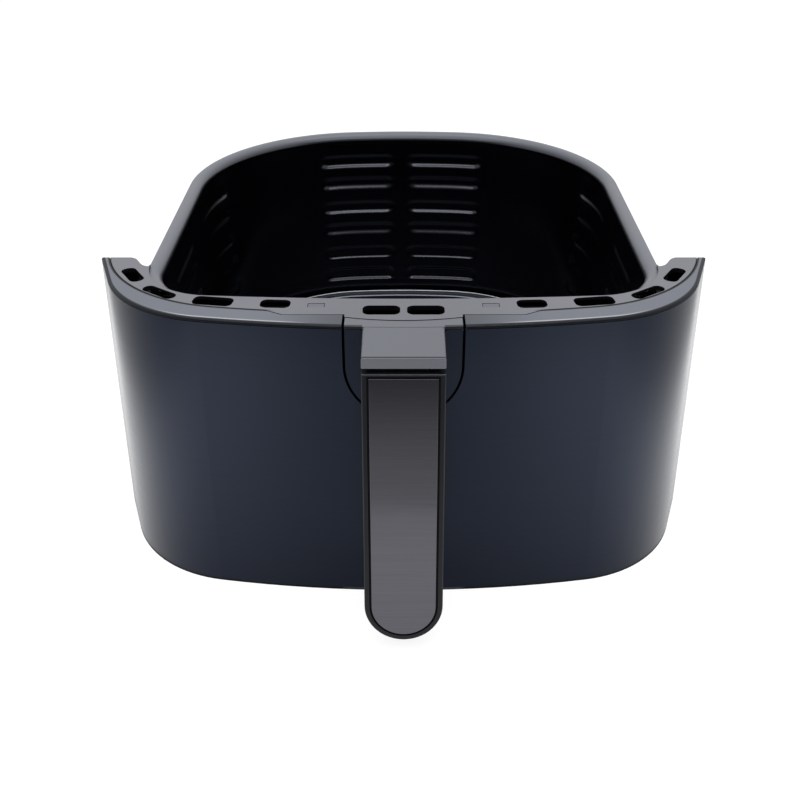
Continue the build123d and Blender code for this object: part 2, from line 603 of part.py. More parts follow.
def vent_cutters():
    cutters = []
    for x, y, length, width, turn in vent_places():
        radius = min(VENT_CORNER_RADIUS, 0.49 * width)
        slot = extrude(RectangleRounded(length, width, radius), 10, both=True)
        cutters.append(Pos(x, y, DRAWER_HEIGHT) * Rot(0, 0, turn) * slot)
        cutters.append(Pos(-x, y, DRAWER_HEIGHT) * Rot(0, 0, -turn) * slot)
    return gather(cutters)


def front_screw_places():
    """Bezel screws halfway between the seam and the inner cover."""
    x = inside_seam(BEZEL_SCREW_ANGLE, 0)[0]
    return mirrored([(x, (seam_front_y(x) + pan_front_y(x, inner_cover_insets()[0])) / 2)])


def ear_screw_places():
    """Bezel screws in the ears."""
    return mirrored([(PANEL_WIDTH / 2 - EAR_SCREW_INSET[0], EAR_DEPTH - EAR_SCREW_INSET[1])])


def bezel_screw_places():
    return front_screw_places() + ear_screw_places()


def mirrored(places):
    """Each place and its mirror image across the drawer's middle."""
    return [(sign * p[0], p[1]) for p in places for sign in (-1, 1)]


def bezel_skirt():
    """Stiffening wall under the bezel, just inside the seam."""
    low_z = RIM_Z - BEZEL_SKIRT_DEPTH
    skirt = Pos(0, 0, low_z) * extrude(seam_face(-SEAM_GAP), BEZEL_SKIRT_DEPTH)
    skirt -= Pos(0, 0, low_z) * extrude(seam_face(-SEAM_GAP - BEZEL_SKIRT_WALL), BEZEL_SKIRT_DEPTH)
    skirt &= panel_block(SKIN_THICKNESS + COVER_WALL + SEAM_GAP, low_z, RIM_Z)
    skirt -= pan_prism(-SEAM_GAP, -FAR, FAR)
    skirt -= box_between((-FAR, EAR_DEPTH - 2 * COVER_WALL, -FAR), (FAR, FAR, FAR))
    half = STEP_HALF_WIDTH + STEP_RUN
    return skirt - box_between((-half, -FAR, -FAR), (half, FAR, FAR))


def vent_bezel():
    body = bezel_plan(RIM_Z, DRAWER_HEIGHT, SEAM_GAP)
    pad = bezel_plan(RIM_Z - BEZEL_PAD, RIM_Z, SEAM_GAP) - pan_prism(-SEAM_GAP, -FAR, FAR)
    pad -= box_between((-FAR, EAR_DEPTH - 1.5 * COVER_WALL, -FAR), (FAR, FAR, FAR))
    body += pad
    body += bezel_skirt()
    body -= extrude(bezel_inside_face(), FAR)
    for x, y in bezel_screw_places():
        low_z = RIM_Z - BEZEL_BOSS_HEIGHT
        boss = Pos(x, y, low_z + BEZEL_BOSS_HEIGHT / 2)
        body += boss * Cylinder(BEZEL_BOSS_RADIUS, BEZEL_BOSS_HEIGHT)
        body -= boss * Cylinder(M3_HOLE, BEZEL_BOSS_HEIGHT)
    window = [size + 2 * LATCH_TAB_CLEARANCE for size in LATCH_TAB]
    for x, y in mirrored([LATCH_TAB_PLACE]):
        body -= Pos(x, y, DRAWER_HEIGHT) * Box(window[0], window[1], 20)
    return body - vent_cutters()


# ---- outer cover and skin -------------------------------------------------------------------
def top_lip():
    """Band on top of the outer cover, with its outer edge rounded."""
    lip = panel_block(0, SKIN_TOP_Z, DRAWER_HEIGHT)
    top = level_face(lip, DRAWER_HEIGHT, 1)
    outer = [e for e in top.edges() if e.center().Y < EAR_DEPTH - 1e-3]
    return fillet(outer, EDGE_ROUND)


def ear_returns():
    """Walls that close the panel's rear ends and follow the bezel's S-curves to the pan."""
    zone = Pos(0, -COVER_WALL, 0) * extrude(bezel_inside_face(), FAR)
    zone &= box_between((-FAR, EAR_NOTCH_Y - COVER_WALL, 0), (FAR, FAR, FAR))
    zone += box_between((-FAR, EAR_DEPTH - COVER_WALL, 0), (FAR, FAR, FAR))
    wall = panel_block(SKIN_THICKNESS, 0, RIM_Z - BEZEL_PAD) & zone
    wall -= pan_prism(-SEAM_GAP, RIM_Z - PAN_SHEET - RIM_CLEARANCE, FAR)
    return wall - pan_prism(inner_cover_insets()[0], -FAR, FAR)


def ear_tab(x, y):
    """Tab on the outer cover's side that takes a bezel screw."""
    high_z = RIM_Z - BEZEL_BOSS_HEIGHT
    half = BEZEL_BOSS_RADIUS + 1.2
    near = x - half if x > 0 else -FAR
    far = FAR if x > 0 else x + half
    block = box_between((near, y - half, high_z - COVER_WALL), (far, EAR_DEPTH, high_z))
    return block & panel_block(SKIN_THICKNESS, 0, DRAWER_HEIGHT)


def cover_screw_places():
    """Screws through the outer cover's foot, spread along the front."""
    places = []
    for i in range(COVER_SCREW_COUNT):
        x = (i - (COVER_SCREW_COUNT - 1) / 2) * COVER_SCREW_PITCH
        places.append((x, panel_front_y(x, 0, SKIN_THICKNESS + COVER_WALL + COVER_SCREW_BOSS)))
    return places


def countersink(x, y, depth):
    """Countersunk head at the table side of a flange."""
    return Pos(x, y, depth / 2) * Cone(M3_HEAD_RADIUS, M3_RADIUS, depth)


def outer_cover():
    inside = SKIN_THICKNESS + COVER_WALL
    body = panel_block(SKIN_THICKNESS, 0, DRAWER_HEIGHT - EDGE_ROUND)
    body += top_lip()
    body += panel_block(0, 0, SKIN_BOTTOM_LIP)
    body -= panel_block(inside, COVER_FOOT_THICKNESS, DRAWER_HEIGHT - COVER_TOP_WALL)
    body -= panel_block(inside + COVER_FOOT_WIDTH, 0, COVER_FOOT_THICKNESS)
    body += ear_returns()
    for x, y in ear_screw_places():
        body += ear_tab(x, y)
        body -= Pos(x, y, RIM_Z - BEZEL_BOSS_HEIGHT) * Cylinder(M3_HOLE, 4 * COVER_WALL)
    body -= extrude(bezel_inside_face(), FAR)
    body -= bezel_plan(RIM_Z - BEZEL_PAD, DRAWER_HEIGHT + 1, 0)
    body -= shield_prism(SHIELD_GAP)
    for x, y in cover_screw_places():
        body -= Pos(x, y, 0) * Cylinder(M3_HOLE, 4 * COVER_FOOT_THICKNESS)
        body -= countersink(x, y, M3_HEAD_HEIGHT)
    return body


def front_skin():
    skin = panel_block(0, SKIN_BOTTOM_LIP, SKIN_TOP_Z - SKIN_TOP_GAP)
    skin -= panel_block(SKIN_THICKNESS, SKIN_BOTTOM_LIP, SKIN_TOP_Z)
    return skin - shield_prism(SHIELD_GAP)


# ---- inner cover, bracket -------------------------------------------------------------------
def inner_cover_insets():
    """Pan outline insets of the inner cover's front and rear surfaces."""
    rear = RIM_WIDTH - PAN_SHEET - INNER_COVER_GAP
    return rear - INNER_COVER_WALL, rear


def inner_cover_flange():
    """Bottom flange that rests on the outer cover's foot, with a row of air slots."""
    front, rear = inner_cover_insets()
    low_z = COVER_FOOT_THICKNESS
    gap = SKIN_THICKNESS + COVER_WALL + SEAM_GAP
    flange = panel_block(gap, low_z, low_z + FOOT_FLANGE_THICKNESS) - pan_prism(rear, -FAR, FAR)
    flange -= Pos(0, -COVER_WALL - SEAM_GAP, 0) * extrude(bezel_inside_face(), FAR)
    flange -= box_between((-FAR, EAR_DEPTH - COVER_WALL - SEAM_GAP, -FAR), (FAR, FAR, FAR))
    slot_y = gap + COVER_FOOT_WIDTH
    for i in range(AIR_SLOT_COUNT):
        x = (i - (AIR_SLOT_COUNT - 1) / 2) * AIR_SLOT_PITCH
        y = panel_front_y(x, 0, slot_y)
        slot = extrude(SlotOverall(*AIR_SLOT), 4 * FOOT_FLANGE_THICKNESS, both=True)
        flange -= Pos(x, y, low_z) * slot
    return flange


def lug(x, y):
    """Tab on the inner cover's front that takes a bezel screw."""
    high_z = RIM_Z - BEZEL_BOSS_HEIGHT
    half = BEZEL_BOSS_RADIUS + 1.2
    rear = inner_cover_insets()[1]
    wall_y = pan_front_y(x, rear)
    block = box_between((x - half, y - half, high_z - COVER_WALL), (x + half, wall_y, high_z))
    return block - pan_prism(rear, -FAR, FAR)


def latch_tab(x, y):
    """Snap tab that stands up from the inner cover and shows through the bezel."""
    half_x = LATCH_TAB[0] / 2
    half_y = LATCH_TAB[1] / 2
    low_z = INNER_COVER_TOP_Z - BEZEL_SKIRT_DEPTH
    rear = inner_cover_insets()[1]
    wall_y = pan_front_y(x, rear)
    tab = box_between((x - half_x, y - half_y, low_z), (x + half_x, y + half_y, DRAWER_HEIGHT - 0.1))
    bridge = box_between((x - half_x, y - half_y, low_z), (x + half_x, wall_y, INNER_COVER_TOP_Z))
    return tab + (bridge - pan_prism(rear, -FAR, FAR))


def along_y(radius, front_y, rear_y, x, z):
    """Round bar along Y."""
    middle = Pos(x, (front_y + rear_y) / 2, z)
    return middle * Rot(90, 0, 0) * Cylinder(radius, rear_y - front_y)


def inner_cover():
    front, rear = inner_cover_insets()
    low_z = COVER_FOOT_THICKNESS
    body = pan_prism(front, low_z, INNER_COVER_TOP_Z) - pan_prism(rear, -FAR, FAR)
    body -= box_between((-FAR, EAR_NOTCH_Y, -FAR), (FAR, FAR, FAR))
    body += inner_cover_flange()
    for x, y in front_screw_places():
        body += lug(x, y)
        body -= Pos(x, y, RIM_Z - BEZEL_BOSS_HEIGHT) * Cylinder(M3_HOLE, 4 * COVER_WALL)
    for x, y in mirrored([LATCH_TAB_PLACE]):
        body += latch_tab(x, y)
    for x, y in cover_screw_places():
        post = COVER_SCREW_LENGTH + 1
        body += Pos(x, y, low_z + post / 2) * Cylinder(COVER_SCREW_BOSS - 0.4, post)
        body -= Pos(x, y, low_z + post / 2) * Cylinder(M3_HOLE, post)
    for x, z in handle_screw_places():
        body -= along_y(STANDOFF_RADIUS + STANDOFF_CLEARANCE, STANDOFF_FRONT_Y, 3 * PAN_FRONT_Y, x, z)
    return body


def bracket_surface_inset():
    return RIM_WIDTH - PAN_SHEET - BRACKET_THICKNESS


def front_bracket():
    """Steel plate welded to the pan's front wall."""
    low_z = min(z for x, z in handle_screw_places()) - BRACKET_BORDER
    top_z = max(z for x, z in handle_screw_places()) + BRACKET_BORDER
    half = max(x for x, z in handle_screw_places()) + BRACKET_BORDER
    plate = pan_block(bracket_surface_inset(), low_z, top_z)
    plate -= pan_block(RIM_WIDTH - PAN_SHEET, low_z, top_z)
    return plate & box_between((-half, 0, low_z), (half, crisper_middle_y(), top_z))


def bracket_standoffs():
    """Threaded standoffs welded to the bracket, one for each handle screw."""
    inside = pan_block(bracket_surface_inset(), LEDGE_HEIGHT, RIM_Z)
    bars = []
    for x, z in handle_screw_places():
        bar = along_y(STANDOFF_RADIUS, STANDOFF_FRONT_Y, 2 * PAN_FRONT_Y, x, z) - inside
        bars.append(bar - along_y(M4_HOLE - 0.15, 0, STANDOFF_FRONT_Y + 5.6, x, z))
    return gather(bars)


# ---- handle ---------------------------------------------------------------------------------
def neck_face(inset):
    """Side view of the neck, set in from its top and front."""
    top_z = DRAWER_HEIGHT - NECK_TOP_DROP - inset
    crease = (-NECK_REACH + inset, DRAWER_HEIGHT - NECK_CREASE_DROP - inset)
    lean = tan(radians(GRIP_LEAN))
    lip_y = -NECK_REACH - NECK_LIP_RUN + inset
    lip_z = DRAWER_HEIGHT - NECK_CREASE_DROP - NECK_LIP_HEIGHT - inset * lean
    under_y = -GRIP_REACH + GRIP_THICKNESS - 1
    under_z = lip_z - (under_y - lip_y) * lean
    root_y = SHIELD_PLATE
    with BuildSketch(Plane.YZ) as sketch:
        with BuildLine():
            Polyline((under_y, under_z), (lip_y, lip_z), crease, (NECK_LEVEL_Y, top_z),
                     (root_y, top_z), (root_y, NECK_ROOT_Z), (0, NECK_ROOT_Z))
            middle_z = NECK_ROOT_Z + 0.62 * (under_z - NECK_ROOT_Z)
            ThreePointArc((0, NECK_ROOT_Z), (0.28 * under_y, middle_z), (under_y, under_z))
        make_face()
    return sketch.sketch.face()


def neck_block(inset, half_width):
    return extrude(neck_face(inset), half_width, both=True)


def neck_envelope():
    """Outside of the neck, with its long top edges rounded."""
    block = neck_block(0, HANDLE_WIDTH / 2)
    edges = [e for e in block.edges()
             if abs(abs(e.center().X) - HANDLE_WIDTH / 2) < 1e-3
             and e.center().Z > DRAWER_HEIGHT - NECK_CREASE_DROP - NECK_LIP_HEIGHT
             and e.center().Y < NECK_LEVEL_Y]
    return fillet(edges, EDGE_ROUND)


def base_cap():
    """Top of the handle's base, between the inlay and the bezel."""
    cap_z = SKIN_TOP_Z - 2
    side_y, middle_y = SHIELD_TOP_EDGE
    half = SHIELD_HALF_WIDTH
    with BuildSketch() as sketch:
        with BuildLine():
            ThreePointArc((half, side_y), (0, middle_y), (-half, side_y))
            Polyline((-half, side_y), (-half, -10), (half, -10), (half, side_y))
        make_face()
    top_z = DRAWER_HEIGHT - NECK_TOP_DROP
    cap = panel_block(0, SKIN_TOP_Z, top_z) + panel_block(INLAY_THICKNESS, cap_z, SKIN_TOP_Z)
    return cap & extrude(sketch.sketch.face(), FAR)


def neck_cover():
    """Light top cover of the neck, which runs on into the top of the base."""
    inner_half = HANDLE_WIDTH / 2 - NECK_WALL
    body = neck_envelope() - panel_block(INLAY_THICKNESS, 0, SKIN_TOP_Z - 2)
    body += base_cap()
    return body - neck_block(NECK_WALL, inner_half)


def base_plate():
    """U-shaped plate behind the inlay, with a boss round each handle screw."""
    cap_z = SKIN_TOP_Z - 2
    plate = panel_block(INLAY_THICKNESS, 0, cap_z)
    plate -= panel_block(INLAY_THICKNESS + SHIELD_PLATE, -1, cap_z + 1)
    plate &= shield_prism(0)
    for x, z in handle_screw_places():
        boss = along_y(BOSS_RADIUS, SHIELD_PLATE, STANDOFF_FRONT_Y, x, z)
        plate += boss & box_between((-FAR, 0, 0), (FAR, FAR, cap_z))
    return plate


def handle_screw_places():
    """X and Z of the four handle screws, inside the edge of the handle's base."""
    reach = SHIELD_HALF_WIDTH - HANDLE_SCREW_BORDER
    turn = radians(HANDLE_SCREW_ANGLE)
    lower = (reach * sin(turn), SHIELD_CENTRE_Z - reach * cos(turn))
    return mirrored([(reach, DRAWER_HEIGHT - HANDLE_SCREW_DROP), lower])


def handle_screw_seat(x, z):
    """Y of the face that a handle screw's head pulls on, just deep enough to sink the head."""
    front_y = panel_front_y(abs(x) + M4_HEAD_RADIUS, z + M4_HEAD_RADIUS, INLAY_THICKNESS)
    return front_y + M4_HEAD_HEIGHT + HEAD_CLEARANCE


def handle_core():
    """Structural moulding: base plate, beam through the neck and spine inside the grip."""
    half = HANDLE_WIDTH / 2 - NECK_WALL - NECK_FIT
    beam = neck_block(NECK_WALL + NECK_FIT, half)
    beam &= box_between((-FAR, -FAR, 0), (FAR, FAR, SKIN_TOP_Z - 2))
    body = base_plate() + beam + grip_spine()
    for x, z in handle_screw_places():
        body -= along_y(M4_HOLE, 0, STANDOFF_FRONT_Y, x, z)
        body -= along_y(M4_HEAD_RADIUS + HEAD_CLEARANCE, 0, handle_screw_seat(x, z), x, z)
    return body - grip_bars(M3_HOLE, SPINE_DEPTHS)


def handle_inlay():
    """Thin U-shaped skin round the root of the neck."""
    inlay = panel_block(0, 0, SKIN_TOP_Z - SKIN_TOP_GAP) - panel_block(INLAY_THICKNESS, -1, SKIN_TOP_Z)
    inlay &= shield_prism(0)
    half = HANDLE_WIDTH / 2 + INLAY_CLEARANCE
    low_z = NECK_ROOT_Z - INLAY_CLEARANCE
    window = box_between((-half, -20, low_z), (half, 20, DRAWER_HEIGHT))
    inlay -= window
    corners = [e for e in inlay.edges().filter_by(GeomType.LINE)
               if abs(abs(e.center().X) - half) < 0.1 and e.center().Z > SKIN_TOP_Z - 1]
    return fillet(corners, 1.6)


def handle_screws():
    """Four screws that hold the handle to the bracket's standoffs."""
    screws = []
    for x, z in handle_screw_places():
        seat_y = handle_screw_seat(x, z)
        head = along_y(M4_HEAD_RADIUS, seat_y - M4_HEAD_HEIGHT, seat_y, x, z)
        screws.append(head + along_y(M4_RADIUS, seat_y, seat_y + HANDLE_SCREW_LENGTH, x, z))
    return gather(screws)


# ---- grip -----------------------------------------------------------------------------------
GRIP_PLANE = Plane((0, -GRIP_REACH, GRIP_TOP_Z), x_dir=(1, 0, 0),
                   z_dir=(0, -cos(radians(GRIP_LEAN)), sin(radians(GRIP_LEAN))))
SPINE_DEPTHS = (-GRIP_THICKNESS + GRIP_BACK_WALL + SPINE_FIT,
                -INSERT_RECESS - CARRIER_THICKNESS - SPINE_FIT)


def grip_solid(inset, top_inset, low, high):
    """Grip's outline, set in at its sides and its top, between two depths in its own plane."""
    half = HANDLE_WIDTH / 2
    end = -GRIP_LENGTH + half
    with BuildSketch(GRIP_PLANE.offset(low)) as sketch:
        with BuildLine():
            Polyline((-half + inset, end), (-half + inset, -top_inset), (half - inset, -top_inset),
                     (half - inset, end))
            CenterArc((0, end), half - inset, 180, 180)
        make_face()
    return extrude(sketch.sketch.face(), high - low, dir=GRIP_PLANE.z_dir)


def grip_box(low, high):
    """Block between two corners in the grip's own plane."""
    size = [high[i] - low[i] for i in range(3)]
    middle = [(high[i] + low[i]) / 2 for i in range(3)]
    return GRIP_PLANE * Pos(*middle) * Box(*size)


def grip_bars(radius, depths):
    """Round bars at the grip screws, between two depths."""
    low, high = depths
    first, last = GRIP_SCREW_END_GAPS
    pitch = (GRIP_LENGTH - first - last) / (GRIP_SCREW_COUNT - 1)
    bars = []
    for i in range(GRIP_SCREW_COUNT):
        middle = Pos(0, -first - i * pitch, (low + high) / 2)
        bars.append(GRIP_PLANE * middle * Cylinder(radius, high - low))
    return gather(bars)


def grip_spine():
    return grip_box((-SPINE_HALF_WIDTH, SPINE_END_GAP - GRIP_LENGTH, SPINE_DEPTHS[0]),
                    (SPINE_HALF_WIDTH, NECK_LIP_HEIGHT, SPINE_DEPTHS[1]))


def grip_depth_edges(solid, depth):
    """Edges of a grip piece that lie at one depth in the grip's plane."""
    return [e for e in solid.edges() if abs(GRIP_PLANE.to_local_coords(e.center()).Z - depth) < 1e-3]


def grip_shell():
    body = grip_solid(0, 0, -GRIP_THICKNESS, 0)
    body = fillet(grip_depth_edges(body, -GRIP_THICKNESS), GRIP_BACK_ROUND)
    body = fillet(grip_depth_edges(body, 0), GRIP_FRONT_ROUND)
    body -= grip_solid(GRIP_RIM, GRIP_TOP_WALL, -GRIP_THICKNESS + GRIP_BACK_WALL, 1)
    side = SPINE_HALF_WIDTH + SPINE_FIT
    body -= grip_box((-side, -GRIP_TOP_WALL - 1, SPINE_DEPTHS[0] - SPINE_FIT),
                     (side, 1, SPINE_DEPTHS[1] + SPINE_FIT))
    body -= grip_bars(M3_HOLE, (-GRIP_THICKNESS - 1, 0))
    return body - grip_bars(CAP_RADIUS + 0.1, (-GRIP_THICKNESS - 1, grip_seat_depth()))


def grip_seat_depth():
    return -GRIP_THICKNESS + CAP_HEIGHT + 0.1 + M3_HEAD_HEIGHT


def grip_carrier():
    """Tray that closes the grip and carries the metal insert."""
    return grip_solid(GRIP_RIM + CARRIER_FIT, GRIP_TOP_WALL + CARRIER_FIT,
                      -INSERT_RECESS - CARRIER_THICKNESS, -INSERT_RECESS)


def grip_insert():
    """Brushed plate on the grip's front."""
    plate = grip_solid(GRIP_RIM + INSERT_GROOVE, GRIP_TOP_WALL + INSERT_GROOVE,
                       -INSERT_RECESS, INSERT_PROUD)
    return fillet(grip_depth_edges(plate, INSERT_PROUD), 0.3)


def grip_screws():
    seat = grip_seat_depth()
    head = grip_bars(M3_HEAD_RADIUS, (seat - M3_HEAD_HEIGHT, seat))
    shank = grip_bars(M3_RADIUS, (seat, seat + GRIP_SCREW_LENGTH))
    return gather([head + shank])


def grip_screw_caps():
    return grip_bars(CAP_RADIUS, (-GRIP_THICKNESS, -GRIP_THICKNESS + CAP_HEIGHT))


# ---- small fasteners ------------------------------------------------------------------------
def cover_screws():
    screws = []
    for x, y in cover_screw_places():
        shank = COVER_SCREW_LENGTH
        screws.append(countersink(x, y, M3_HEAD_HEIGHT)
                      + Pos(x, y, M3_HEAD_HEIGHT + shank / 2) * Cylinder(M3_RADIUS, shank))
    return gather(screws)


def bezel_screws():
    screws = []
    seat_z = RIM_Z - BEZEL_BOSS_HEIGHT - COVER_WALL
    length = COVER_WALL + BEZEL_BOSS_HEIGHT * 0.6
    for x, y in bezel_screw_places():
        head = Pos(x, y, seat_z - M3_HEAD_HEIGHT / 2) * Cylinder(M3_HEAD_RADIUS, M3_HEAD_HEIGHT)
        screws.append(head + Pos(x, y, seat_z + length / 2) * Cylinder(M3_RADIUS, length))
    return gather(screws)


# ---- assembly -------------------------------------------------------------------------------
def build():
    pieces = {
        "pan": pan(),
        "front_bracket": front_bracket(),
        "bracket_standoffs": bracket_standoffs(),
        "inner_cover": inner_cover(),
        "outer_cover": outer_cover(),
        "front_skin": front_skin(),
        "vent_bezel": vent_bezel(),
        "handle_core": handle_core(),
        "neck_cover": neck_cover(),
        "handle_inlay": handle_inlay(),
        "grip_shell": grip_shell(),
        "grip_carrier": grip_carrier(),
        "grip_insert": grip_insert(),
        "handle_screws": handle_screws(),
        "grip_screws": grip_screws(),
        "grip_screw_caps": grip_screw_caps(),
        "cover_screws": cover_screws(),
        "bezel_screws": bezel_screws(),
        "crisper_plate": crisper_plate(),
    }
    pieces.update(crisper_bumpers())
    for number, (x, y) in enumerate(foot_places(), start=1):
        pieces[f"crisper_foot_{number}"] = crisper_foot(x, y)
    return pieces


def main():
    os.makedirs("parts", exist_ok=True)
    pieces = build()
    bounds = Compound(list(pieces.values())).bounding_box()
    shift = Pos(-bounds.center().X, -bounds.center().Y, -bounds.min.Z)
    for name, piece in pieces.items():
        solids = [shift * solid for solid in piece.solids()]
        shape = solids[0] if len(solids) == 1 else Compound(solids)
        export_step(shape, f"parts/{name}.step")
    print("footprint middle", round(bounds.center().Y, 3), "size", bounds.size)


main()
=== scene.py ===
import json
import math

import bmesh
import bpy
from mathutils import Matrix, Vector


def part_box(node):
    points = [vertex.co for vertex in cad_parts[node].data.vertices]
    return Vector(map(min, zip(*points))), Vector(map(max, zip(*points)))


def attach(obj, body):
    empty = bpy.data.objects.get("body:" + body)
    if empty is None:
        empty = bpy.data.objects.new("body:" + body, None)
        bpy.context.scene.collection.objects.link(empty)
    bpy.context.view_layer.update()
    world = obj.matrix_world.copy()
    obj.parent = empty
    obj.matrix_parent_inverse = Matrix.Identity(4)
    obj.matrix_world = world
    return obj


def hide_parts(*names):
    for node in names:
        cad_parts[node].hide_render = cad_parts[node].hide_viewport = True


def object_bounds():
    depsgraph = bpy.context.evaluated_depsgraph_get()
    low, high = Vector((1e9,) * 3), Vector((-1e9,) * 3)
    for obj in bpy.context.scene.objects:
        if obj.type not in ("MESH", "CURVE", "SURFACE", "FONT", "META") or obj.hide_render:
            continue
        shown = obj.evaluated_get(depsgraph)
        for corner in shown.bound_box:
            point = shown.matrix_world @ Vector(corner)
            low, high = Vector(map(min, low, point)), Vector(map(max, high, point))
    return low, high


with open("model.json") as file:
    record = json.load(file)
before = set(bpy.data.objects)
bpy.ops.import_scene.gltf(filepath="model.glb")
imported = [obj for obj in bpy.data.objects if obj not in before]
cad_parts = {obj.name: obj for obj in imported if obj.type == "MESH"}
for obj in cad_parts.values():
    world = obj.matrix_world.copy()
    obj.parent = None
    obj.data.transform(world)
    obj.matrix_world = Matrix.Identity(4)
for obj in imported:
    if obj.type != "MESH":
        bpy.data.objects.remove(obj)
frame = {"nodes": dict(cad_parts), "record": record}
nodes = frame["nodes"]


def bounds_lists():
    low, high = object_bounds()
    return [list(low), list(high)]


cad_box = bounds_lists()

# ---- shared frame -----------------------------------------------------------------------------
MM = 0.001
PAN_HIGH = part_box("pan")[1]
PAN_REAR_FROM_PANEL = 288.0            # mm, top centre of the front panel to the pan's rear
PANEL_Y = PAN_HIGH.y - PAN_REAR_FROM_PANEL * MM
TOP_MM = cad_box[1][2] / MM


def place(x, y, z):
    """A point given in millimetres from the panel's top front edge, above the table."""
    return Vector((x * MM, PANEL_Y + y * MM, z * MM))


# ---- node helpers -----------------------------------------------------------------------------
class Shader:
    """One procedural material: a Principled shader and short calls that add nodes to it."""

    def __init__(self, name, color, rough, metallic=0.0, specular=0.5):
        self.mat = bpy.data.materials.new(name)
        self.mat.use_nodes = True
        self.tree = self.mat.node_tree
        self.tree.nodes.clear()
        self.out = self.add("ShaderNodeOutputMaterial")
        self.bsdf = self.add("ShaderNodeBsdfPrincipled")
        self.link(self.bsdf.outputs[0], self.out.inputs[0])
        self.set("Base Color", (*color, 1))
        self.set("Roughness", rough)
        self.set("Metallic", metallic)
        self.set("Specular IOR Level", specular)

    def add(self, kind, **settings):
        node = self.tree.nodes.new(kind)
        for key, value in settings.items():
            setattr(node, key, value)
        return node

    def link(self, source, target):
        self.tree.links.new(source, target)

    def set(self, socket, value):
        self.bsdf.inputs[socket].default_value = value

    def feed(self, source, socket):
        self.link(source, self.bsdf.inputs[socket])

    def where(self):
        """Object coordinates, which are the row frame in metres."""
        return self.add("ShaderNodeTexCoord").outputs["Object"]

    def axis(self, vector, name):
        """One component of a vector socket."""
        split = self.add("ShaderNodeSeparateXYZ")
        self.link(vector, split.inputs[0])
        return split.outputs[name]

    def normal(self):
        return self.add("ShaderNodeNewGeometry").outputs["True Normal"]

    def noise(self, scale, stretch=(1, 1, 1), detail=3.0, rough=0.5):
        """Noise from 0 to 1 with scale in features per metre along each axis."""
        mapping = self.add("ShaderNodeMapping")
        mapping.inputs["Scale"].default_value = [scale * s for s in stretch]
        self.link(self.where(), mapping.inputs["Vector"])
        noise = self.add("ShaderNodeTexNoise")
        noise.inputs["Scale"].default_value = 1.0
        noise.inputs["Detail"].default_value = detail
        noise.inputs["Roughness"].default_value = rough
        self.link(mapping.outputs[0], noise.inputs["Vector"])
        return noise.outputs[0]

    def spread(self, source, low, high, source_low=0.3, source_high=0.7, smooth=False):
        """Source mapped from its own range to low..high."""
        node = self.add("ShaderNodeMapRange")
        if smooth:
            node.interpolation_type = "SMOOTHSTEP"
        node.inputs["From Min"].default_value = source_low
        node.inputs["From Max"].default_value = source_high
        node.inputs["To Min"].default_value = low
        node.inputs["To Max"].default_value = high
        self.link(source, node.inputs["Value"])
        return node.outputs[0]

    def math(self, operation, first, second):
        node = self.add("ShaderNodeMath", operation=operation)
        for socket, value in zip(node.inputs, (first, second)):
            if isinstance(value, (int, float)):
                socket.default_value = value
            else:
                self.link(value, socket)
        return node.outputs[0]

    def mix(self, factor, first, second):
        """Colour between two colours, each a tuple or a socket."""
        node = self.add("ShaderNodeMix", data_type="RGBA")
        self.link(factor, node.inputs["Factor"])
        for socket, value in zip((node.inputs["A"], node.inputs["B"]), (first, second)):
            if isinstance(value, tuple):
                socket.default_value = (*value, 1)
            else:
                self.link(value, socket)
        return node.outputs["Result"]

    def height(self, low_mm, high_mm):
        """0 below low_mm and 1 above high_mm over the table."""
        over_table = self.axis(self.where(), "Z")
        return self.spread(over_table, 0, 1, low_mm * MM, high_mm * MM, smooth=True)

    def behind(self, low_mm, high_mm):
        """0 nearer than low_mm to the panel's top front edge and 1 beyond high_mm."""
        low, high = place(0, low_mm, 0).y, place(0, high_mm, 0).y
        return self.spread(self.axis(self.where(), "Y"), 0, 1, low, high, smooth=True)

    def facing_up(self, low=0.3, high=0.7):
        """1 where the surface looks up, 0 on its walls and underside."""
        return self.spread(self.axis(self.normal(), "Z"), 0, 1, low, high)

    def facing_front(self, low, high):
        """1 where the surface looks forward, 0 where it turns to the sides or up."""
        return self.spread(self.axis(self.normal(), "Y"), 0, 1, -low, -high)

    def facing_out(self):
        """1 where the surface looks away from the middle of the pan, 0 on its inner faces."""
        away = self.add("ShaderNodeVectorMath", operation="SUBTRACT")
        self.link(self.where(), away.inputs[0])
        away.inputs[1].default_value = place(0, PAN_REAR_FROM_PANEL / 2, TOP_MM)
        both = self.add("ShaderNodeVectorMath", operation="DOT_PRODUCT")
        self.link(self.normal(), both.inputs[0])
        self.link(away.outputs[0], both.inputs[1])
        return self.spread(both.outputs["Value"], 0, 1, -0.002, 0.002)

    def aside(self, low_mm, high_mm):
        """0 nearer than low_mm to the drawer's middle plane and 1 beyond high_mm."""
        across = self.math("ABSOLUTE", self.axis(self.where(), "X"), 0)
        return self.spread(across, 0, 1, low_mm * MM, high_mm * MM, smooth=True)

    def along(self, point, direction):
        """How far a point lies along a direction in plan."""
        dot = self.add("ShaderNodeVectorMath", operation="DOT_PRODUCT")
        self.link(point, dot.inputs[0])
        dot.inputs[1].default_value = (*direction, 0)
        return dot.outputs["Value"]

    def reach(self, point, centre, radius):
        """How far inside a circle a point lies."""
        distance = self.add("ShaderNodeVectorMath", operation="DISTANCE")
        self.link(point, distance.inputs[0])
        distance.inputs[1].default_value = (*centre, 0)
        return self.math("SUBTRACT", radius, distance.outputs["Value"])

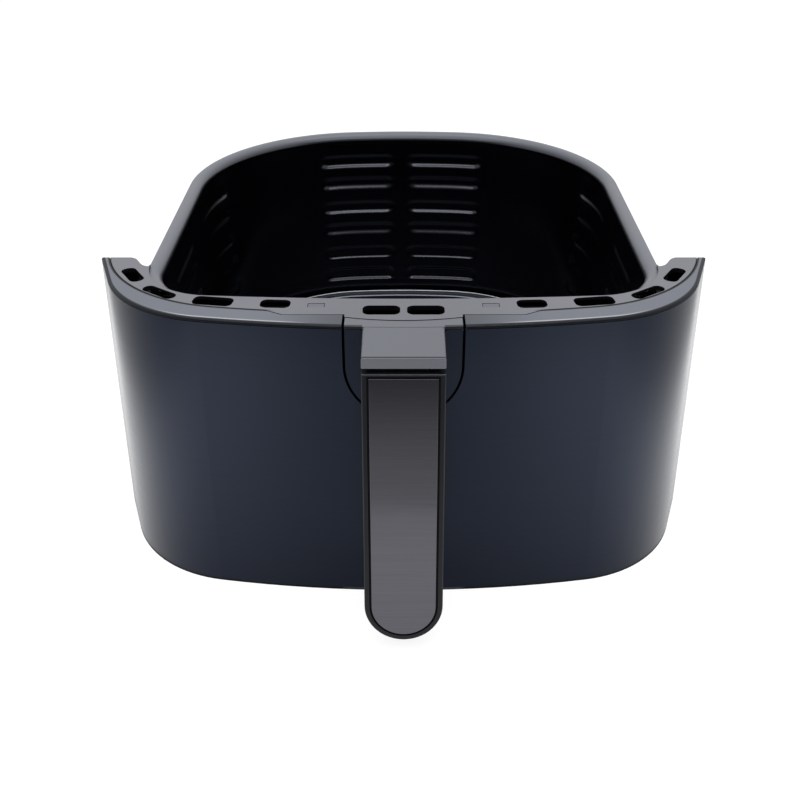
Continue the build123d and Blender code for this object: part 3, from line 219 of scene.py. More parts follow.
    def inside(self, outline):
        """Millimetres that the surface lies inside an outline of the panel, in plan."""
        front, corner, corner_radius, side_angle = outline
        point = self.add("ShaderNodeVectorMath", operation="MULTIPLY_ADD")
        self.link(self.where(), point.inputs[0])
        point.inputs[1].default_value = (1 / MM, 1 / MM, 0)
        point.inputs[2].default_value = (0, -PANEL_Y / MM, 0)
        half = self.add("ShaderNodeVectorMath", operation="ABSOLUTE")
        self.link(point.outputs[0], half.inputs[0])
        from_corner = self.add("ShaderNodeVectorMath", operation="SUBTRACT")
        self.link(half.outputs[0], from_corner.inputs[0])
        from_corner.inputs[1].default_value = (*corner, 0)
        turn = math.atan2(corner[1] - front[1], corner[0])
        before_side = math.radians(side_angle) - math.pi / 2
        at_corner = self.math("GREATER_THAN", self.along(
            from_corner.outputs[0], (-math.sin(turn), math.cos(turn))), 0)
        at_side = self.math("GREATER_THAN", self.along(
            from_corner.outputs[0], (-math.sin(before_side), math.cos(before_side))), 0)
        in_front = self.reach(half.outputs[0], (0, front[1]), front[0])
        in_corner = self.reach(half.outputs[0], corner, corner_radius)
        in_side = self.math("SUBTRACT", corner_radius, self.along(
            from_corner.outputs[0], (math.cos(before_side), math.sin(before_side))))
        depth = self.math("ADD", in_front, self.math(
            "MULTIPLY", at_corner, self.math("SUBTRACT", in_corner, in_front)))
        return self.math("ADD", depth, self.math(
            "MULTIPLY", at_side, self.math("SUBTRACT", in_side, in_corner)))

    def stripe(self, distance, low, high, blur=0.15):
        """1 where a distance lies between low and high, 0 outside."""
        rise = self.spread(distance, 0, 1, low - blur, low + blur)
        return self.math("MULTIPLY", rise, self.spread(distance, 1, 0, high - blur, high + blur))

    def seam(self, color):
        """Colour with the dark joint between the cover's band and the bezel."""
        line = self.stripe(self.inside(SEAM_OUTLINE), -SEAM_HALF, SEAM_HALF)
        return self.mix(self.math("MULTIPLY", line, self.aside(*SEAM_FROM)), color, BLACK)

    def painted_shade_middle(self, color, plain, tone):
        """Colour with painted shade: it fades to a share of its plain tone beside the handle."""
        return self.mix(self.aside(*MIDDLE_SPAN), tuple(c * tone for c in plain), color)

    def hem(self, color):
        """Band's colour: painted shade, darker near the handle, and at its edge a painted highlight
        line, then painted shade in the skin's tone.
        """
        color = self.painted_shade_middle(color, BAND_GREY, MIDDLE_TONE)
        depth = self.inside(PANEL_OUTLINE)
        lit = self.math("MULTIPLY", self.aside(*LINE_STARTS), self.math(
            "SUBTRACT", 1, self.aside(*LINE_ENDS)))
        line = self.math("MULTIPLY", self.stripe(depth, *PAINTED_HIGHLIGHT_LINE), lit)
        color = self.mix(line, color, PAINTED_EDGE_HIGHLIGHT)
        return self.mix(self.spread(depth, 1, 0, *HEM_EDGE), color, HEM_SHADE)

    def root_shade(self, color):
        """Neck's colour, with painted shade in the skin's tone on the front edge of the trims beside
        its root.
        """
        edge = self.spread(self.inside(PANEL_OUTLINE), 1, 0, *HEM_EDGE)
        trim = self.math("MULTIPLY", self.aside(*TRIM_FROM), self.behind(*TRIM_BEHIND))
        return self.mix(self.math("MULTIPLY", edge, trim), color, HEM_SHADE)

    def crease(self, color):
        """Colour with the thin dark crease below the neck's front edge as painted shade, and paler
        under it as painted light.
        """
        here = self.where()
        ahead = self.math("MULTIPLY", self.math("SUBTRACT", PANEL_Y, self.axis(here, "Y")), 1 / MM)
        in_front = self.spread(ahead, 0, 1, CREASE_AHEAD[0], CREASE_AHEAD[0] + 0.1)
        low, high = LIP_TOP
        front_face = self.spread(self.axis(here, "Z"), 1, 0, low * MM, high * MM)
        lip = self.mix(self.math("MULTIPLY", in_front, front_face), color, LIP_PAINTED_LIGHT)
        line = self.math("MULTIPLY", self.stripe(ahead, *CREASE_AHEAD), self.height(*CREASE_ABOVE))
        return self.mix(line, lip, BLACK)

    def bump(self, source, depth_mm):
        node = self.add("ShaderNodeBump")
        node.inputs["Strength"].default_value = 1.0
        node.inputs["Distance"].default_value = depth_mm * MM
        self.link(source, node.inputs["Height"])
        self.feed(node.outputs[0], "Normal")


# ---- materials --------------------------------------------------------------------------------
def shades(color, share):
    """A colour made lighter and darker by a share of itself."""
    return tuple(c * (1 + share) for c in color), tuple(c * (1 - share) for c in color)


def moulded_plastic(name, color, rough, grain=2200.0, specular=0.5, painted_shade_and_marks=None):
    """Fine-textured moulding. The last argument says where its faces are dark, as painted shade on
    the bezel's walls and the cover's inside, or carry painted lines and painted highlights.
    """
    shader = Shader(name, color, rough, specular=specular)
    grains = shader.noise(grain, detail=2.0)
    clouds = shader.noise(28.0, detail=3.0)
    light, dark = shades(color, 0.03)
    top = shader.mix(shader.spread(clouds, 0, 1), dark, light)
    if painted_shade_and_marks == "walls":
        # Painted shade: the bezel fades to a share of its tone beside the handle.
        top = shader.seam(shader.painted_shade_middle(top, BEZEL_GREY, BEZEL_MIDDLE_TONE))
        # Painted shade: the bezel's walls and undersides, the vents' walls among them, are painted
        # black.
        top = shader.mix(shader.facing_up(), BLACK, top)
    elif painted_shade_and_marks == "inside":
        # Painted shade: faces that look inward, or sit below the band's top, are painted black.
        on_top = shader.math("MULTIPLY", shader.facing_up(), shader.height(*BAND_TOP))
        seen = shader.math("MAXIMUM", shader.facing_out(), on_top)
        top = shader.seam(shader.hem(top))
        top = shader.mix(seen, BLACK, top)
    elif painted_shade_and_marks == "front edge":
        top = shader.crease(shader.root_shade(top))
    elif painted_shade_and_marks == "below":
        top = shader.mix(shader.height(LATCH_TOP - 0.6, LATCH_TOP - 0.2), BLACK, top)
    shader.feed(top, "Base Color")
    shader.feed(shader.spread(grains, rough - 0.06, rough + 0.06), "Roughness")
    shader.bump(grains, 0.012)
    return shader.mat


def brushed_metal(name, color, rough, along, cut_edge_and_highlight=None, lacquer=0.0, dark_rim=None):
    """Metal brushed along the given axes: long fine lines, a few deeper ones, and slow clouds.

    cut_edge_and_highlight is the bare colour of the sheet's upper edge, partly a painted highlight,
    lacquer the weight of a clear coat, and dark_rim the colour of the rounded edge that turns away
    from the front, as painted shade.
    """
    shader = Shader(name, color, rough, 1.0)
    across = 1300.0
    stretch = tuple(0.012 if i in along else 1.0 for i in range(3))
    lines = shader.noise(across, stretch, detail=4.0, rough=0.65)
    fine = shader.noise(3.1 * across, stretch, detail=2.0)
    clouds = shader.noise(14.0, detail=2.0)
    both = shader.math("ADD", shader.math("MULTIPLY", lines, 0.65),
                       shader.math("MULTIPLY", fine, 0.35))
    light, dark = shades(color, 0.06)
    face = shader.mix(shader.spread(both, 0, 1, 0.35, 0.65), dark, light)
    # Painted shade on the rounded edge that turns away from the front.
    if dark_rim:
        face = shader.mix(shader.facing_front(0.9, 0.96), dark_rim, face)
    # The sheet's upper edge is pale: its bare metal, and partly a painted highlight.
    if cut_edge_and_highlight:
        face = shader.mix(shader.facing_up(0.2, 0.5), face, cut_edge_and_highlight)
    shader.feed(face, "Base Color")
    uneven = shader.math("ADD", shader.math("MULTIPLY", both, 0.7),
                         shader.math("MULTIPLY", clouds, 0.3))
    shader.feed(shader.spread(uneven, rough - 0.03, rough + 0.03, 0.35, 0.65), "Roughness")
    shader.set("Coat Weight", lacquer)
    shader.set("Coat IOR", 1.3)
    shader.set("Coat Roughness", 0.2)
    shader.bump(both, 0.003)
    shader.set("Anisotropic", 0.45)
    tangent = shader.add("ShaderNodeTangent", direction_type="RADIAL", axis="Z")
    shader.feed(tangent.outputs[0], "Tangent")
    return shader.mat


def non_stick_coating(name, rimmed=True):
    """Dark satin coating with a fine speckle: grey on the pan's rim as a painted reflection, and
    pale on the plate's sloped edges as a painted highlight.
    """
    rough = 0.2
    shader = Shader(name, (0.0006, 0.0007, 0.0014), rough, specular=0.6)
    shader.set("Specular Tint", (0.84, 0.88, 1.0, 1))
    speckle = shader.noise(2600.0, detail=2.0)
    peel = shader.noise(180.0, detail=2.0)
    inside = shader.mix(shader.spread(speckle, 0, 1, 0.55, 0.75), (0.0004, 0.0005, 0.0012),
                        (0.0014, 0.0016, 0.0028))
    if rimmed:
        # Painted reflection: the rim is grey from 144 mm up, only behind the bezel's front edge.
        lit = shader.math("MULTIPLY", shader.height(144.0, 148.5), shader.behind(*UNDER_BEZEL))
        rim = shader.mix(shader.spread(speckle, 0, 1), (0.15, 0.157, 0.18), (0.16, 0.167, 0.19))
        face = shader.mix(lit, inside, rim)
        smoothness = shader.math("ADD", shader.spread(speckle, rough - 0.02, rough + 0.03),
                                 shader.math("MULTIPLY", lit, 0.2))
    else:
        # Painted highlight: the plate's sloped faces, at its edges, are pale.
        up, not_flat = shader.facing_up(0.15, 0.3), shader.facing_up(0.97, 0.93)
        sloped_edge_highlight = shader.math("MULTIPLY", up, not_flat)
        face = shader.mix(sloped_edge_highlight, (0.012, 0.014, 0.024), (0.3, 0.31, 0.34))
        smoothness = shader.spread(speckle, rough + 0.08, rough + 0.14)
    shader.feed(face, "Base Color")
    shader.feed(smoothness, "Roughness")
    shader.bump(shader.math("ADD", shader.math("MULTIPLY", speckle, 0.15), peel), 0.004)
    return shader.mat


def bare_metal(name, color, rough):
    shader = Shader(name, color, rough, 1.0)
    spots = shader.noise(60.0, detail=4.0)
    shader.feed(shader.spread(spots, rough - 0.08, rough + 0.1), "Roughness")
    shader.bump(shader.noise(900.0), 0.01)
    return shader.mat


def silicone(name):
    shader = Shader(name, (0.002, 0.002, 0.003), 0.8, specular=0.08)
    grains = shader.noise(1800.0, detail=2.0)
    shader.feed(shader.spread(grains, 0.72, 0.88), "Roughness")
    shader.bump(grains, 0.015)
    return shader.mat


def wrap_outline(half_width, depth, front_y, front_radius, corner_radius, side_angle):
    """Front arc, corner arc and straight side of an outline in plan, for its right half."""
    turn = math.radians(side_angle)
    way = (math.cos(turn), math.sin(turn))
    centre_y = front_y + front_radius
    start = (half_width - corner_radius * math.sin(turn),
             depth + corner_radius * math.cos(turn) - centre_y)
    projected = start[0] * way[0] + start[1] * way[1]
    slide = -projected - math.sqrt(projected**2 - start[0] ** 2 - start[1] ** 2
                                   + (front_radius - corner_radius) ** 2)
    corner = (start[0] + slide * way[0], start[1] + slide * way[1] + centre_y)
    return (front_radius, centre_y), corner, corner_radius, side_angle


def arc_radius(half, bow):
    return (half**2 + bow**2) / (2 * bow)


BLACK = (0.002, 0.002, 0.003)
BAND_GREY = (0.158, 0.17, 0.202)
PANEL_HALF_WIDTH, PANEL_FRONT_BOW, PANEL_CORNER, PANEL_SIDE_ANGLE = 151.4, 21.25, 63.0, 70.5
EAR_DEPTH = 75.0                       # front of the panel to the rear end of its ears
PANEL_FRONT = arc_radius(PANEL_HALF_WIDTH, PANEL_FRONT_BOW)
SEAM_EAR_INSET, SEAM_FRONT_INSET, SEAM_CORNER, SEAM_SIDE_ANGLE = 4.1, 12.4, 74.0, 76.5
PANEL_OUTLINE = wrap_outline(PANEL_HALF_WIDTH, EAR_DEPTH, 0, PANEL_FRONT, PANEL_CORNER,
                             PANEL_SIDE_ANGLE)
SEAM_OUTLINE = wrap_outline(PANEL_HALF_WIDTH - SEAM_EAR_INSET, EAR_DEPTH, SEAM_FRONT_INSET,
                            PANEL_FRONT - SEAM_FRONT_INSET, SEAM_CORNER, SEAM_SIDE_ANGLE)
# Painted shade in the skin's dark tone for the band's and the trims' front edges, and a painted
# highlight colour.
HEM_SHADE = (0.004, 0.006, 0.011)
PAINTED_EDGE_HIGHLIGHT = (0.45, 0.46, 0.5)
LIP_PAINTED_LIGHT = (0.19, 0.2, 0.225)
BEZEL_GREY = (0.164, 0.169, 0.195)
# Painted lines and tones, in mm. Pairs are where a change starts and ends.
SEAM_HALF, SEAM_FROM = 0.75, (58.0, 64.0)              # dark joint, and where beside the handle
# Painted highlight: a bright line just inside the panel's outline, between its two ends from the
# middle; painted shade in the skin's tone outside it.
PAINTED_HIGHLIGHT_LINE = (1.75, 2.6)                                 # bright line inside the panel's outline
HEM_EDGE = (PAINTED_HIGHLIGHT_LINE[0] - 0.25, PAINTED_HIGHLIGHT_LINE[0] + 0.1)     # skin's tone outside of that line
LINE_STARTS, LINE_ENDS = (40, 60), (96, 116)           # the line's two ends, from the middle
# Painted shade: the cover's inside is painted black below this.
BAND_TOP = (147.0, 147.6)                              # the cover's inside is dark below this
TRIM_FROM, TRIM_BEHIND = (18.1, 18.4), (-2.0, -1.5)    # light trims beside the neck's root
# Painted shade line at the neck's front crease, and painted light on the lip face below it.
CREASE_AHEAD, CREASE_ABOVE = (23.6, 24.7), (147.2, 147.4)
LIP_TOP = (147.55, 147.8)
# The rim's painted reflection starts behind the bezel.
UNDER_BEZEL = (42.0, 48.0)                             # the bezel hides the rim before this
# Shading from the photo's light, painted as a share of the colour's own tone near the handle.
MIDDLE_TONE, BEZEL_MIDDLE_TONE, MIDDLE_SPAN = 0.5, 0.85, (24.0, 66.0)
LATCH_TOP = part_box("inner_cover")[1].z / MM
mats = {
    "pan_coating": non_stick_coating("pan_coating"),
    "bare_steel": bare_metal("bare_steel", (0.42, 0.42, 0.43), 0.35),
    "zinc_steel": bare_metal("zinc_steel", (0.5, 0.51, 0.53), 0.28),
    "black_plastic": moulded_plastic("black_plastic", (0.006, 0.006, 0.0072), 0.6, specular=0.25),
    "band_plastic": moulded_plastic("band_plastic", BAND_GREY, 0.42, specular=0.22,
                                    painted_shade_and_marks="inside"),
    "brushed_skin": brushed_metal("brushed_skin", (0.014, 0.021, 0.041), 0.34, (0, 1),
                                  cut_edge_and_highlight=(0.5, 0.52, 0.58), lacquer=1.0),
    "bezel_plastic": moulded_plastic("bezel_plastic", BEZEL_GREY, 0.42, painted_shade_and_marks="walls"),
    "neck_plastic": moulded_plastic("neck_plastic", (0.128, 0.136, 0.158), 0.4,
                                    painted_shade_and_marks="front edge"),
    "grip_plastic": moulded_plastic("grip_plastic", (0.0105, 0.0115, 0.0155), 0.33, grain=3000.0),
    "brushed_insert": brushed_metal("brushed_insert", (0.224, 0.224, 0.25), 0.1, (0,),
                                    dark_rim=(0.05, 0.05, 0.056)),
    "silicone": silicone("silicone"),
}
for sub in frame["record"]["subparts"]:
    obj = nodes[sub["node"]]
    obj.data.materials.clear()
    obj.data.materials.append(mats[sub["material_slot"]])

# The latch tabs are moulded in the bezel's grey and show in its windows.
nodes["inner_cover"].data.materials[0] = moulded_plastic(
    "latch_tabs", BEZEL_GREY, 0.5, specular=0.15, painted_shade_and_marks="below")
nodes["crisper_plate"].data.materials[0] = non_stick_coating("plate_coating", rimmed=False)

# ---- pan --------------------------------------------------------------------------------------
# Deep-drawn sheet with a rolled rim and soft dents. All sizes in millimetres.
RIM_Z = PAN_HIGH.z / MM
HALF_WIDTH = PAN_HIGH.x / MM
PAN_FRONT = 22.8
FRONT_BOW, FRONT_CORNER = 6.55, 42.0
REAR_BOW, REAR_CORNER = 22.0, 101.0
SHEET = 1.2
RIM_WIDTH = 6.7
DRAFT = math.tan(math.radians(3.0))
LEDGE_Z, LEDGE_STEP, LEDGE_FALL = 46.6, 0.6, 2.5
FLOOR_ROUND = 22.0
PLATEAU_INSET, PLATEAU_CORNER, PLATEAU_Z, PLATEAU_ROUND = 55.0, 30.0, 14.0, 5.0
DENT_LENGTH, DENT_HEIGHT, SIDE_DENT_SHARE = 50.5, 8.0, 0.8
DENT_ROWS = (18.0, 32.9, 50.0, 65.2, 82.8, 98.6)               # below the rim
DEEP, SOFT, NARROW = (1.4, 0.56), (1.3, 0.41), (1.0, 0.58)     # a dent's depth, its wall's slope
DENT_WALLS = (DEEP, SOFT, DEEP, SOFT, NARROW, NARROW)
REAR_DENTS, SIDE_DENTS = (-32.0, 28.8), (115.5, 201.5)         # x on the rear wall, y on a side
TRIM_HALF, TRIM_DEPTH, TRIM_FADE = 112.0, 4.2, 4.0             # rim under the vents


def smooth(t):
    t = min(1.0, max(0.0, t))
    return t * t * (3 - 2 * t)


class PanOutline:
    """The rim's outer edge as arcs and lines, walked by its length, one half mirrored."""

    def __init__(self, spacing):
        front_radius = arc_radius(HALF_WIDTH, FRONT_BOW)
        rear_radius = arc_radius(HALF_WIDTH, REAR_BOW)
        front_y = PAN_FRONT + front_radius
        rear_y = PAN_REAR_FROM_PANEL - rear_radius
        front_corner = (HALF_WIDTH - FRONT_CORNER,
                        front_y - math.sqrt((front_radius - FRONT_CORNER) ** 2
                                            - (HALF_WIDTH - FRONT_CORNER) ** 2))
        rear_corner = (HALF_WIDTH - REAR_CORNER,
                       rear_y + math.sqrt((rear_radius - REAR_CORNER) ** 2
                                          - (HALF_WIDTH - REAR_CORNER) ** 2))
        front_turn = math.atan2(front_corner[1] - front_y, front_corner[0])
        rear_turn = math.atan2(rear_corner[1] - rear_y, rear_corner[0])
        self.half = []
        self.arc((0, front_y), front_radius, -math.pi / 2, front_turn, spacing)
        self.arc(front_corner, FRONT_CORNER, front_turn, 0, spacing)
        self.line(front_corner[1], rear_corner[1], spacing)
        self.arc(rear_corner, REAR_CORNER, 0, rear_turn, spacing)
        self.arc((0, rear_y), rear_radius, rear_turn, math.pi / 2, spacing)
        left = [(-x, y, math.pi - turn) for x, y, turn in reversed(self.half[1:])]
        top = (0.0, PAN_REAR_FROM_PANEL, math.pi / 2)
        self.stations = self.half + [top] + left

    def arc(self, centre, radius, start, end, spacing):
        """Stations from start up to end, each a point and the direction that looks outward."""
        count = max(2, round(radius * abs(end - start) / spacing))
        for i in range(count):
            turn = start + (end - start) * i / count
            self.half.append((centre[0] + radius * math.cos(turn),
                              centre[1] + radius * math.sin(turn), turn))

    def line(self, low_y, high_y, spacing):
        count = round((high_y - low_y) / spacing)
        for i in range(count):
            self.half.append((HALF_WIDTH, low_y + (high_y - low_y) * i / count, 0.0))


def lengths_along(stations):
    """Distance walked along a closed outline, at each station and in all."""
    walked, total = [], 0.0
    for i, (x, y, _) in enumerate(stations):
        walked.append(total)
        nx, ny, _ = stations[(i + 1) % len(stations)]
        total += math.hypot(nx - x, ny - y)
    return walked, total


def dent_centres(stations, walked):
    """Where along the outline each column of dents stands, and its share of the full depth."""
    found = []

    def nearest_station(miss):
        return walked[min(range(len(stations)), key=lambda i: miss(*stations[i][:2]))]

    for x_place in REAR_DENTS:
        found.append((nearest_station(
            lambda x, y: abs(x - x_place) + (0 if y > 200 else 1e3)), 1.0))
    for y_place in SIDE_DENTS:
        for sign in (1, -1):
            found.append((nearest_station(
                lambda x, y: abs(y - y_place) + (0 if x * sign > 60 else 1e3)), SIDE_DENT_SHARE))
    return found


def dent_bulge(along, z, centres, total):
    """How far a point of the wall is pressed outward: stadium-shaped dents with sloping walls."""
    best = 0.0
    nearest, share = min((min(abs(along - c), total - abs(along - c)), d) for c, d in centres)
    if nearest > DENT_LENGTH / 2 + 3:
        return 0.0
    for below_rim, (depth, slope) in zip(DENT_ROWS, DENT_WALLS):
        over = max(0.0, nearest - (DENT_LENGTH - DENT_HEIGHT) / 2)
        into = DENT_HEIGHT / 2 + 0.6 - math.hypot(over, z - RIM_Z + below_rim)
        if into > 0:
            level = min(1.0, into * slope / depth)
            best = max(best, share * depth * (0.6 * level + 0.4 * smooth(level)))
    return best


def wall_profile():
    """Inner surface from the rim's outer edge to the plateau, as (inset, z)."""
    points = [(0.0, RIM_Z - 1.5), (0.05, RIM_Z - 0.9), (0.35, RIM_Z - 0.35), (0.9, RIM_Z - 0.05),
              (1.7, RIM_Z)]
    centre_inset, round_radius = 2.6, 5.2
    for i in range(0, 10):
        turn = math.radians(87) * i / 9
        points.append((centre_inset + round_radius * math.sin(turn) * 0.9,
                       RIM_Z - round_radius * (1 - math.cos(turn))))
    z = RIM_Z - 6.2
    while z > LEDGE_Z + 0.6:
        points.append((RIM_WIDTH + (RIM_Z - z) * DRAFT, z))
        z -= 0.6
    ledge_inset = RIM_WIDTH + (RIM_Z - LEDGE_Z) * DRAFT
    for i in range(9):
        points.append((ledge_inset + LEDGE_STEP * smooth(i / 8),
                       LEDGE_Z + 0.4 - LEDGE_FALL * i / 8))
    high_z, low_z = points[-1][1], SHEET + FLOOR_ROUND
    for i in range(1, 5):
        z = high_z + (low_z - high_z) * i / 4
        points.append((ledge_inset + LEDGE_STEP + (LEDGE_Z - z) * DRAFT, z))
    foot_inset = points[-1][0]
    for i in range(1, 11):
        turn = math.pi / 2 * i / 10
        points.append((foot_inset + FLOOR_ROUND * (1 - math.cos(turn)),
                       SHEET + FLOOR_ROUND * (1 - math.sin(turn))))
    return points


def plateau_point(turn, grow):
    """Point of the plateau's rounded-rectangle edge in a direction from the pan's middle."""
    middle_y = (PAN_FRONT + PAN_REAR_FROM_PANEL) / 2
    half_x = HALF_WIDTH - PLATEAU_INSET + grow
    half_y = PAN_REAR_FROM_PANEL - middle_y - PLATEAU_INSET + grow
    radius = PLATEAU_CORNER + grow
    dx, dy = math.cos(turn), math.sin(turn)
    low, high = 0.0, 2 * half_y
    for _ in range(30):
        reach = (low + high) / 2
        px, py = abs(reach * dx), abs(reach * dy)
        qx, qy = px - (half_x - radius), py - (half_y - radius)
        inside = px < half_x and py < half_y
        if qx > 0 and qy > 0:
            inside = math.hypot(qx, qy) < radius
        low, high = (reach, high) if inside else (low, reach)
    return low * dx, middle_y + low * dy


def pan_mesh():
    """Closed mesh of the pan: inner surface, then the outer one a sheet's thickness away."""
    stations = PanOutline(2.0).stations
    walked, total = lengths_along(stations)
    centres = dent_centres(stations, walked)
    profile = wall_profile()
    middle_y = (PAN_FRONT + PAN_REAR_FROM_PANEL) / 2
    rows = []

    def ring(inset, z, offset):
        """One row round the pan. offset is how far outside the inner surface it lies."""
        points = []
        for (x, y, turn), along in zip(stations, walked):
            push = offset
            if LEDGE_Z - 2 < z < RIM_Z - 8:
                push += dent_bulge(along, z, centres, total)
            near_rim = inset - push
            if z > RIM_Z - 7 and y < middle_y:
                keep = TRIM_DEPTH * smooth((TRIM_HALF + TRIM_FADE - abs(x)) / TRIM_FADE)
                near_rim = max(near_rim, keep)
            points.append((x - near_rim * math.cos(turn), y - near_rim * math.sin(turn), z))
        rows.append(points)

    def inner_plateau(grow, z):
        points = []
        for x, y, _ in stations:
            px, py = plateau_point(math.atan2(y - middle_y, x), grow)
            points.append((px, py, z))
        rows.append(points)

    def plateau_rows(top_z, foot_z, inward):
        """Rows from the foot of the plateau up over its rounded edge."""
        edge = [(1.0 - inward, foot_z), (0.3 - inward, foot_z + 0.8)]
        for i in range(6):
            turn = math.pi / 2 * i / 5
            edge.append((-inward - PLATEAU_ROUND * (1 - math.cos(turn)),
                         top_z - PLATEAU_ROUND * (1 - math.sin(turn))))
        return edge

    for inset, z in profile:
        ring(inset, z, 0.0)
    for grow, z in plateau_rows(PLATEAU_Z + SHEET, SHEET, 0.0):
        inner_plateau(grow, z)
    inner_end = len(rows)
    for grow, z in reversed(plateau_rows(PLATEAU_Z, 0.0, SHEET)):
        inner_plateau(grow, z)
    for inset, z in reversed(profile):
        if z > RIM_Z - 6.0:
            continue
        below = z - SHEET * max(0.0, SHEET + FLOOR_ROUND - z) / FLOOR_ROUND
        ring(inset, below, SHEET * min(1.0, max(0.0, (z - SHEET) / FLOOR_ROUND)))
    for inset, z in ((RIM_WIDTH - SHEET + 0.1, RIM_Z - 4.6), (RIM_WIDTH - SHEET - 0.6, RIM_Z - 3.2),
                     (RIM_WIDTH - SHEET - 2.0, RIM_Z - 2.3), (1.4, RIM_Z - 2.1), (0.4, RIM_Z - 2.0)):
        ring(inset, z, 0.0)
    return stations, rows, inner_end


def closed_tube(name, path, radius, sides=8):
    """Smooth ring of tube round a closed path of points, each with its outward direction."""
    verts, faces = [], []
    for x, y, z, turn in path:
        for k in range(sides):
            a = 2 * math.pi * k / sides
            out = radius * math.cos(a)
            verts.append(place(x + out * math.cos(turn), y + out * math.sin(turn),
                               z + radius * math.sin(a)))
    for i in range(len(path)):
        j = (i + 1) % len(path)
        for k in range(sides):
            m = (k + 1) % sides
            faces.append((i * sides + k, j * sides + k, j * sides + m, i * sides + m))
    mesh = bpy.data.meshes.new(name)
    mesh.from_pydata(verts, [], faces)
    mesh.polygons.foreach_set("use_smooth", [True] * len(mesh.polygons))
    obj = bpy.data.objects.new(name, mesh)
    bpy.context.scene.collection.objects.link(obj)
    return obj


BEAD_RADIUS = 0.7


def build_plate_bead():
    """Rolled bead along the crisper plate's outer edge, coloured pale as a painted highlight."""
    top_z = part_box("crisper_plate")[1].z / MM
    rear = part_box("crisper_plate")[1].y / MM - PANEL_Y / MM
    inset = PAN_REAR_FROM_PANEL - rear + BEAD_RADIUS
    path = [(x - inset * math.cos(turn), y - inset * math.sin(turn), top_z + BEAD_RADIUS / 2, turn)
            for x, y, turn in PanOutline(2.0).stations]
    obj = closed_tube("plate_bead", path, BEAD_RADIUS)
    obj.data.materials.append(bare_metal("painted_highlight_bead", (0.3, 0.31, 0.34), 0.35))
    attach(obj, "crisper")


def build_pan():
    stations, rows, inner_end = pan_mesh()
    count = len(stations)
    verts = [place(*point) for row in rows for point in row]
    faces = []
    for r in range(len(rows)):
        if r == inner_end - 1:
            continue
        above, below = r * count, (r + 1) % len(rows) * count
        for i in range(count):
            j = (i + 1) % count
            faces.append((above + i, above + j, below + j, below + i))
    for row, flip in ((inner_end - 1, False), (inner_end, True)):
        middle = len(verts)
        ring = rows[row]
        verts.append(place(0, sum(p[1] for p in ring) / count, ring[0][2]))
        for i in range(count):
            a, b = row * count + i, row * count + (i + 1) % count
            faces.append((a, middle, b) if flip else (a, b, middle))
    mesh = bpy.data.meshes.new("drawn_pan")
    mesh.from_pydata(verts, [], faces)
    mesh.validate()
    mesh.polygons.foreach_set("use_smooth", [True] * len(mesh.polygons))
    obj = bpy.data.objects.new("drawn_pan", mesh)
    bpy.context.scene.collection.objects.link(obj)
    mesh.materials.append(mats["pan_coating"])
    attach(obj, "drawer")
    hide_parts("pan")


build_pan()
build_plate_bead()


# ---- seam shade pads --------------------------------------------------------------------------
STOP_SIZE, STOP_ROUND, STOP_BELOW, STOP_INSET = (2.4, 5.0, 2.0), 0.3, 0.3, 0.15


def build_seam_shade_pads():
    """Small black pads that close the seam between the bezel and the cover at the ears' ends, as
    painted shade in that seam.
    """
    bezel_high, cover_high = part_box("vent_bezel")[1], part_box("outer_cover")[1]
    half = Vector(STOP_SIZE) * MM / 2
    for side, name in ((-1, "seam_shade_pad_left"), (1, "seam_shade_pad_right")):
        work = bmesh.new()
        bmesh.ops.create_cube(work, size=1.0)
        for vert in work.verts:
            vert.co = Vector([c * 2 * h for c, h in zip(vert.co, half)])
        bmesh.ops.bevel(work, geom=work.edges[:], offset=STOP_ROUND * MM, segments=2,
                        affect="EDGES")
        centre = Vector((side * bezel_high.x, cover_high.y - STOP_INSET * MM - half.y,
                         cover_high.z - STOP_BELOW * MM - half.z))
        bmesh.ops.translate(work, vec=centre, verts=work.verts)
        mesh = bpy.data.meshes.new(name)
        work.to_mesh(mesh)
        work.free()
        obj = bpy.data.objects.new(name, mesh)
        bpy.context.scene.collection.objects.link(obj)
        mesh.materials.append(mats["black_plastic"])
        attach(obj, "drawer")


build_seam_shade_pads()

# ---- floor and world --------------------------------------------------------------------------
# Plain to the camera only. To all other rays the floor is graded with painted shade, darker far in
# front, past a step, in front of the middle and far to the sides, and it glows to glossy rays by
# that grading; the world has a dark end. This is what the metal and the coating mirror. Distances in
# front of the panel are in mm, and those from the middle in metres.
FLOOR_FADE = (900.0, 60.0)
SHADE_STEP, SHADE_STEP_TONE = (302.0, 292.0), 0.64
NEAR_ASIDE, CENTRE_TONE = (0.03, 0.24), 0.42
FAR_ASIDE, FAR_ASIDE_TONE = (0.25, 0.38), 0.48
CAMERA_GLOW, MIRROR_GLOW = 0.86, 0.36
DARK_END_TILT, DARK_END_FADE, DARK_END_LEVEL = math.radians(10), (0.55, 0.85), 0.1


def floor_span(distances):
    return [place(0, -distance, 0).y for distance in distances]


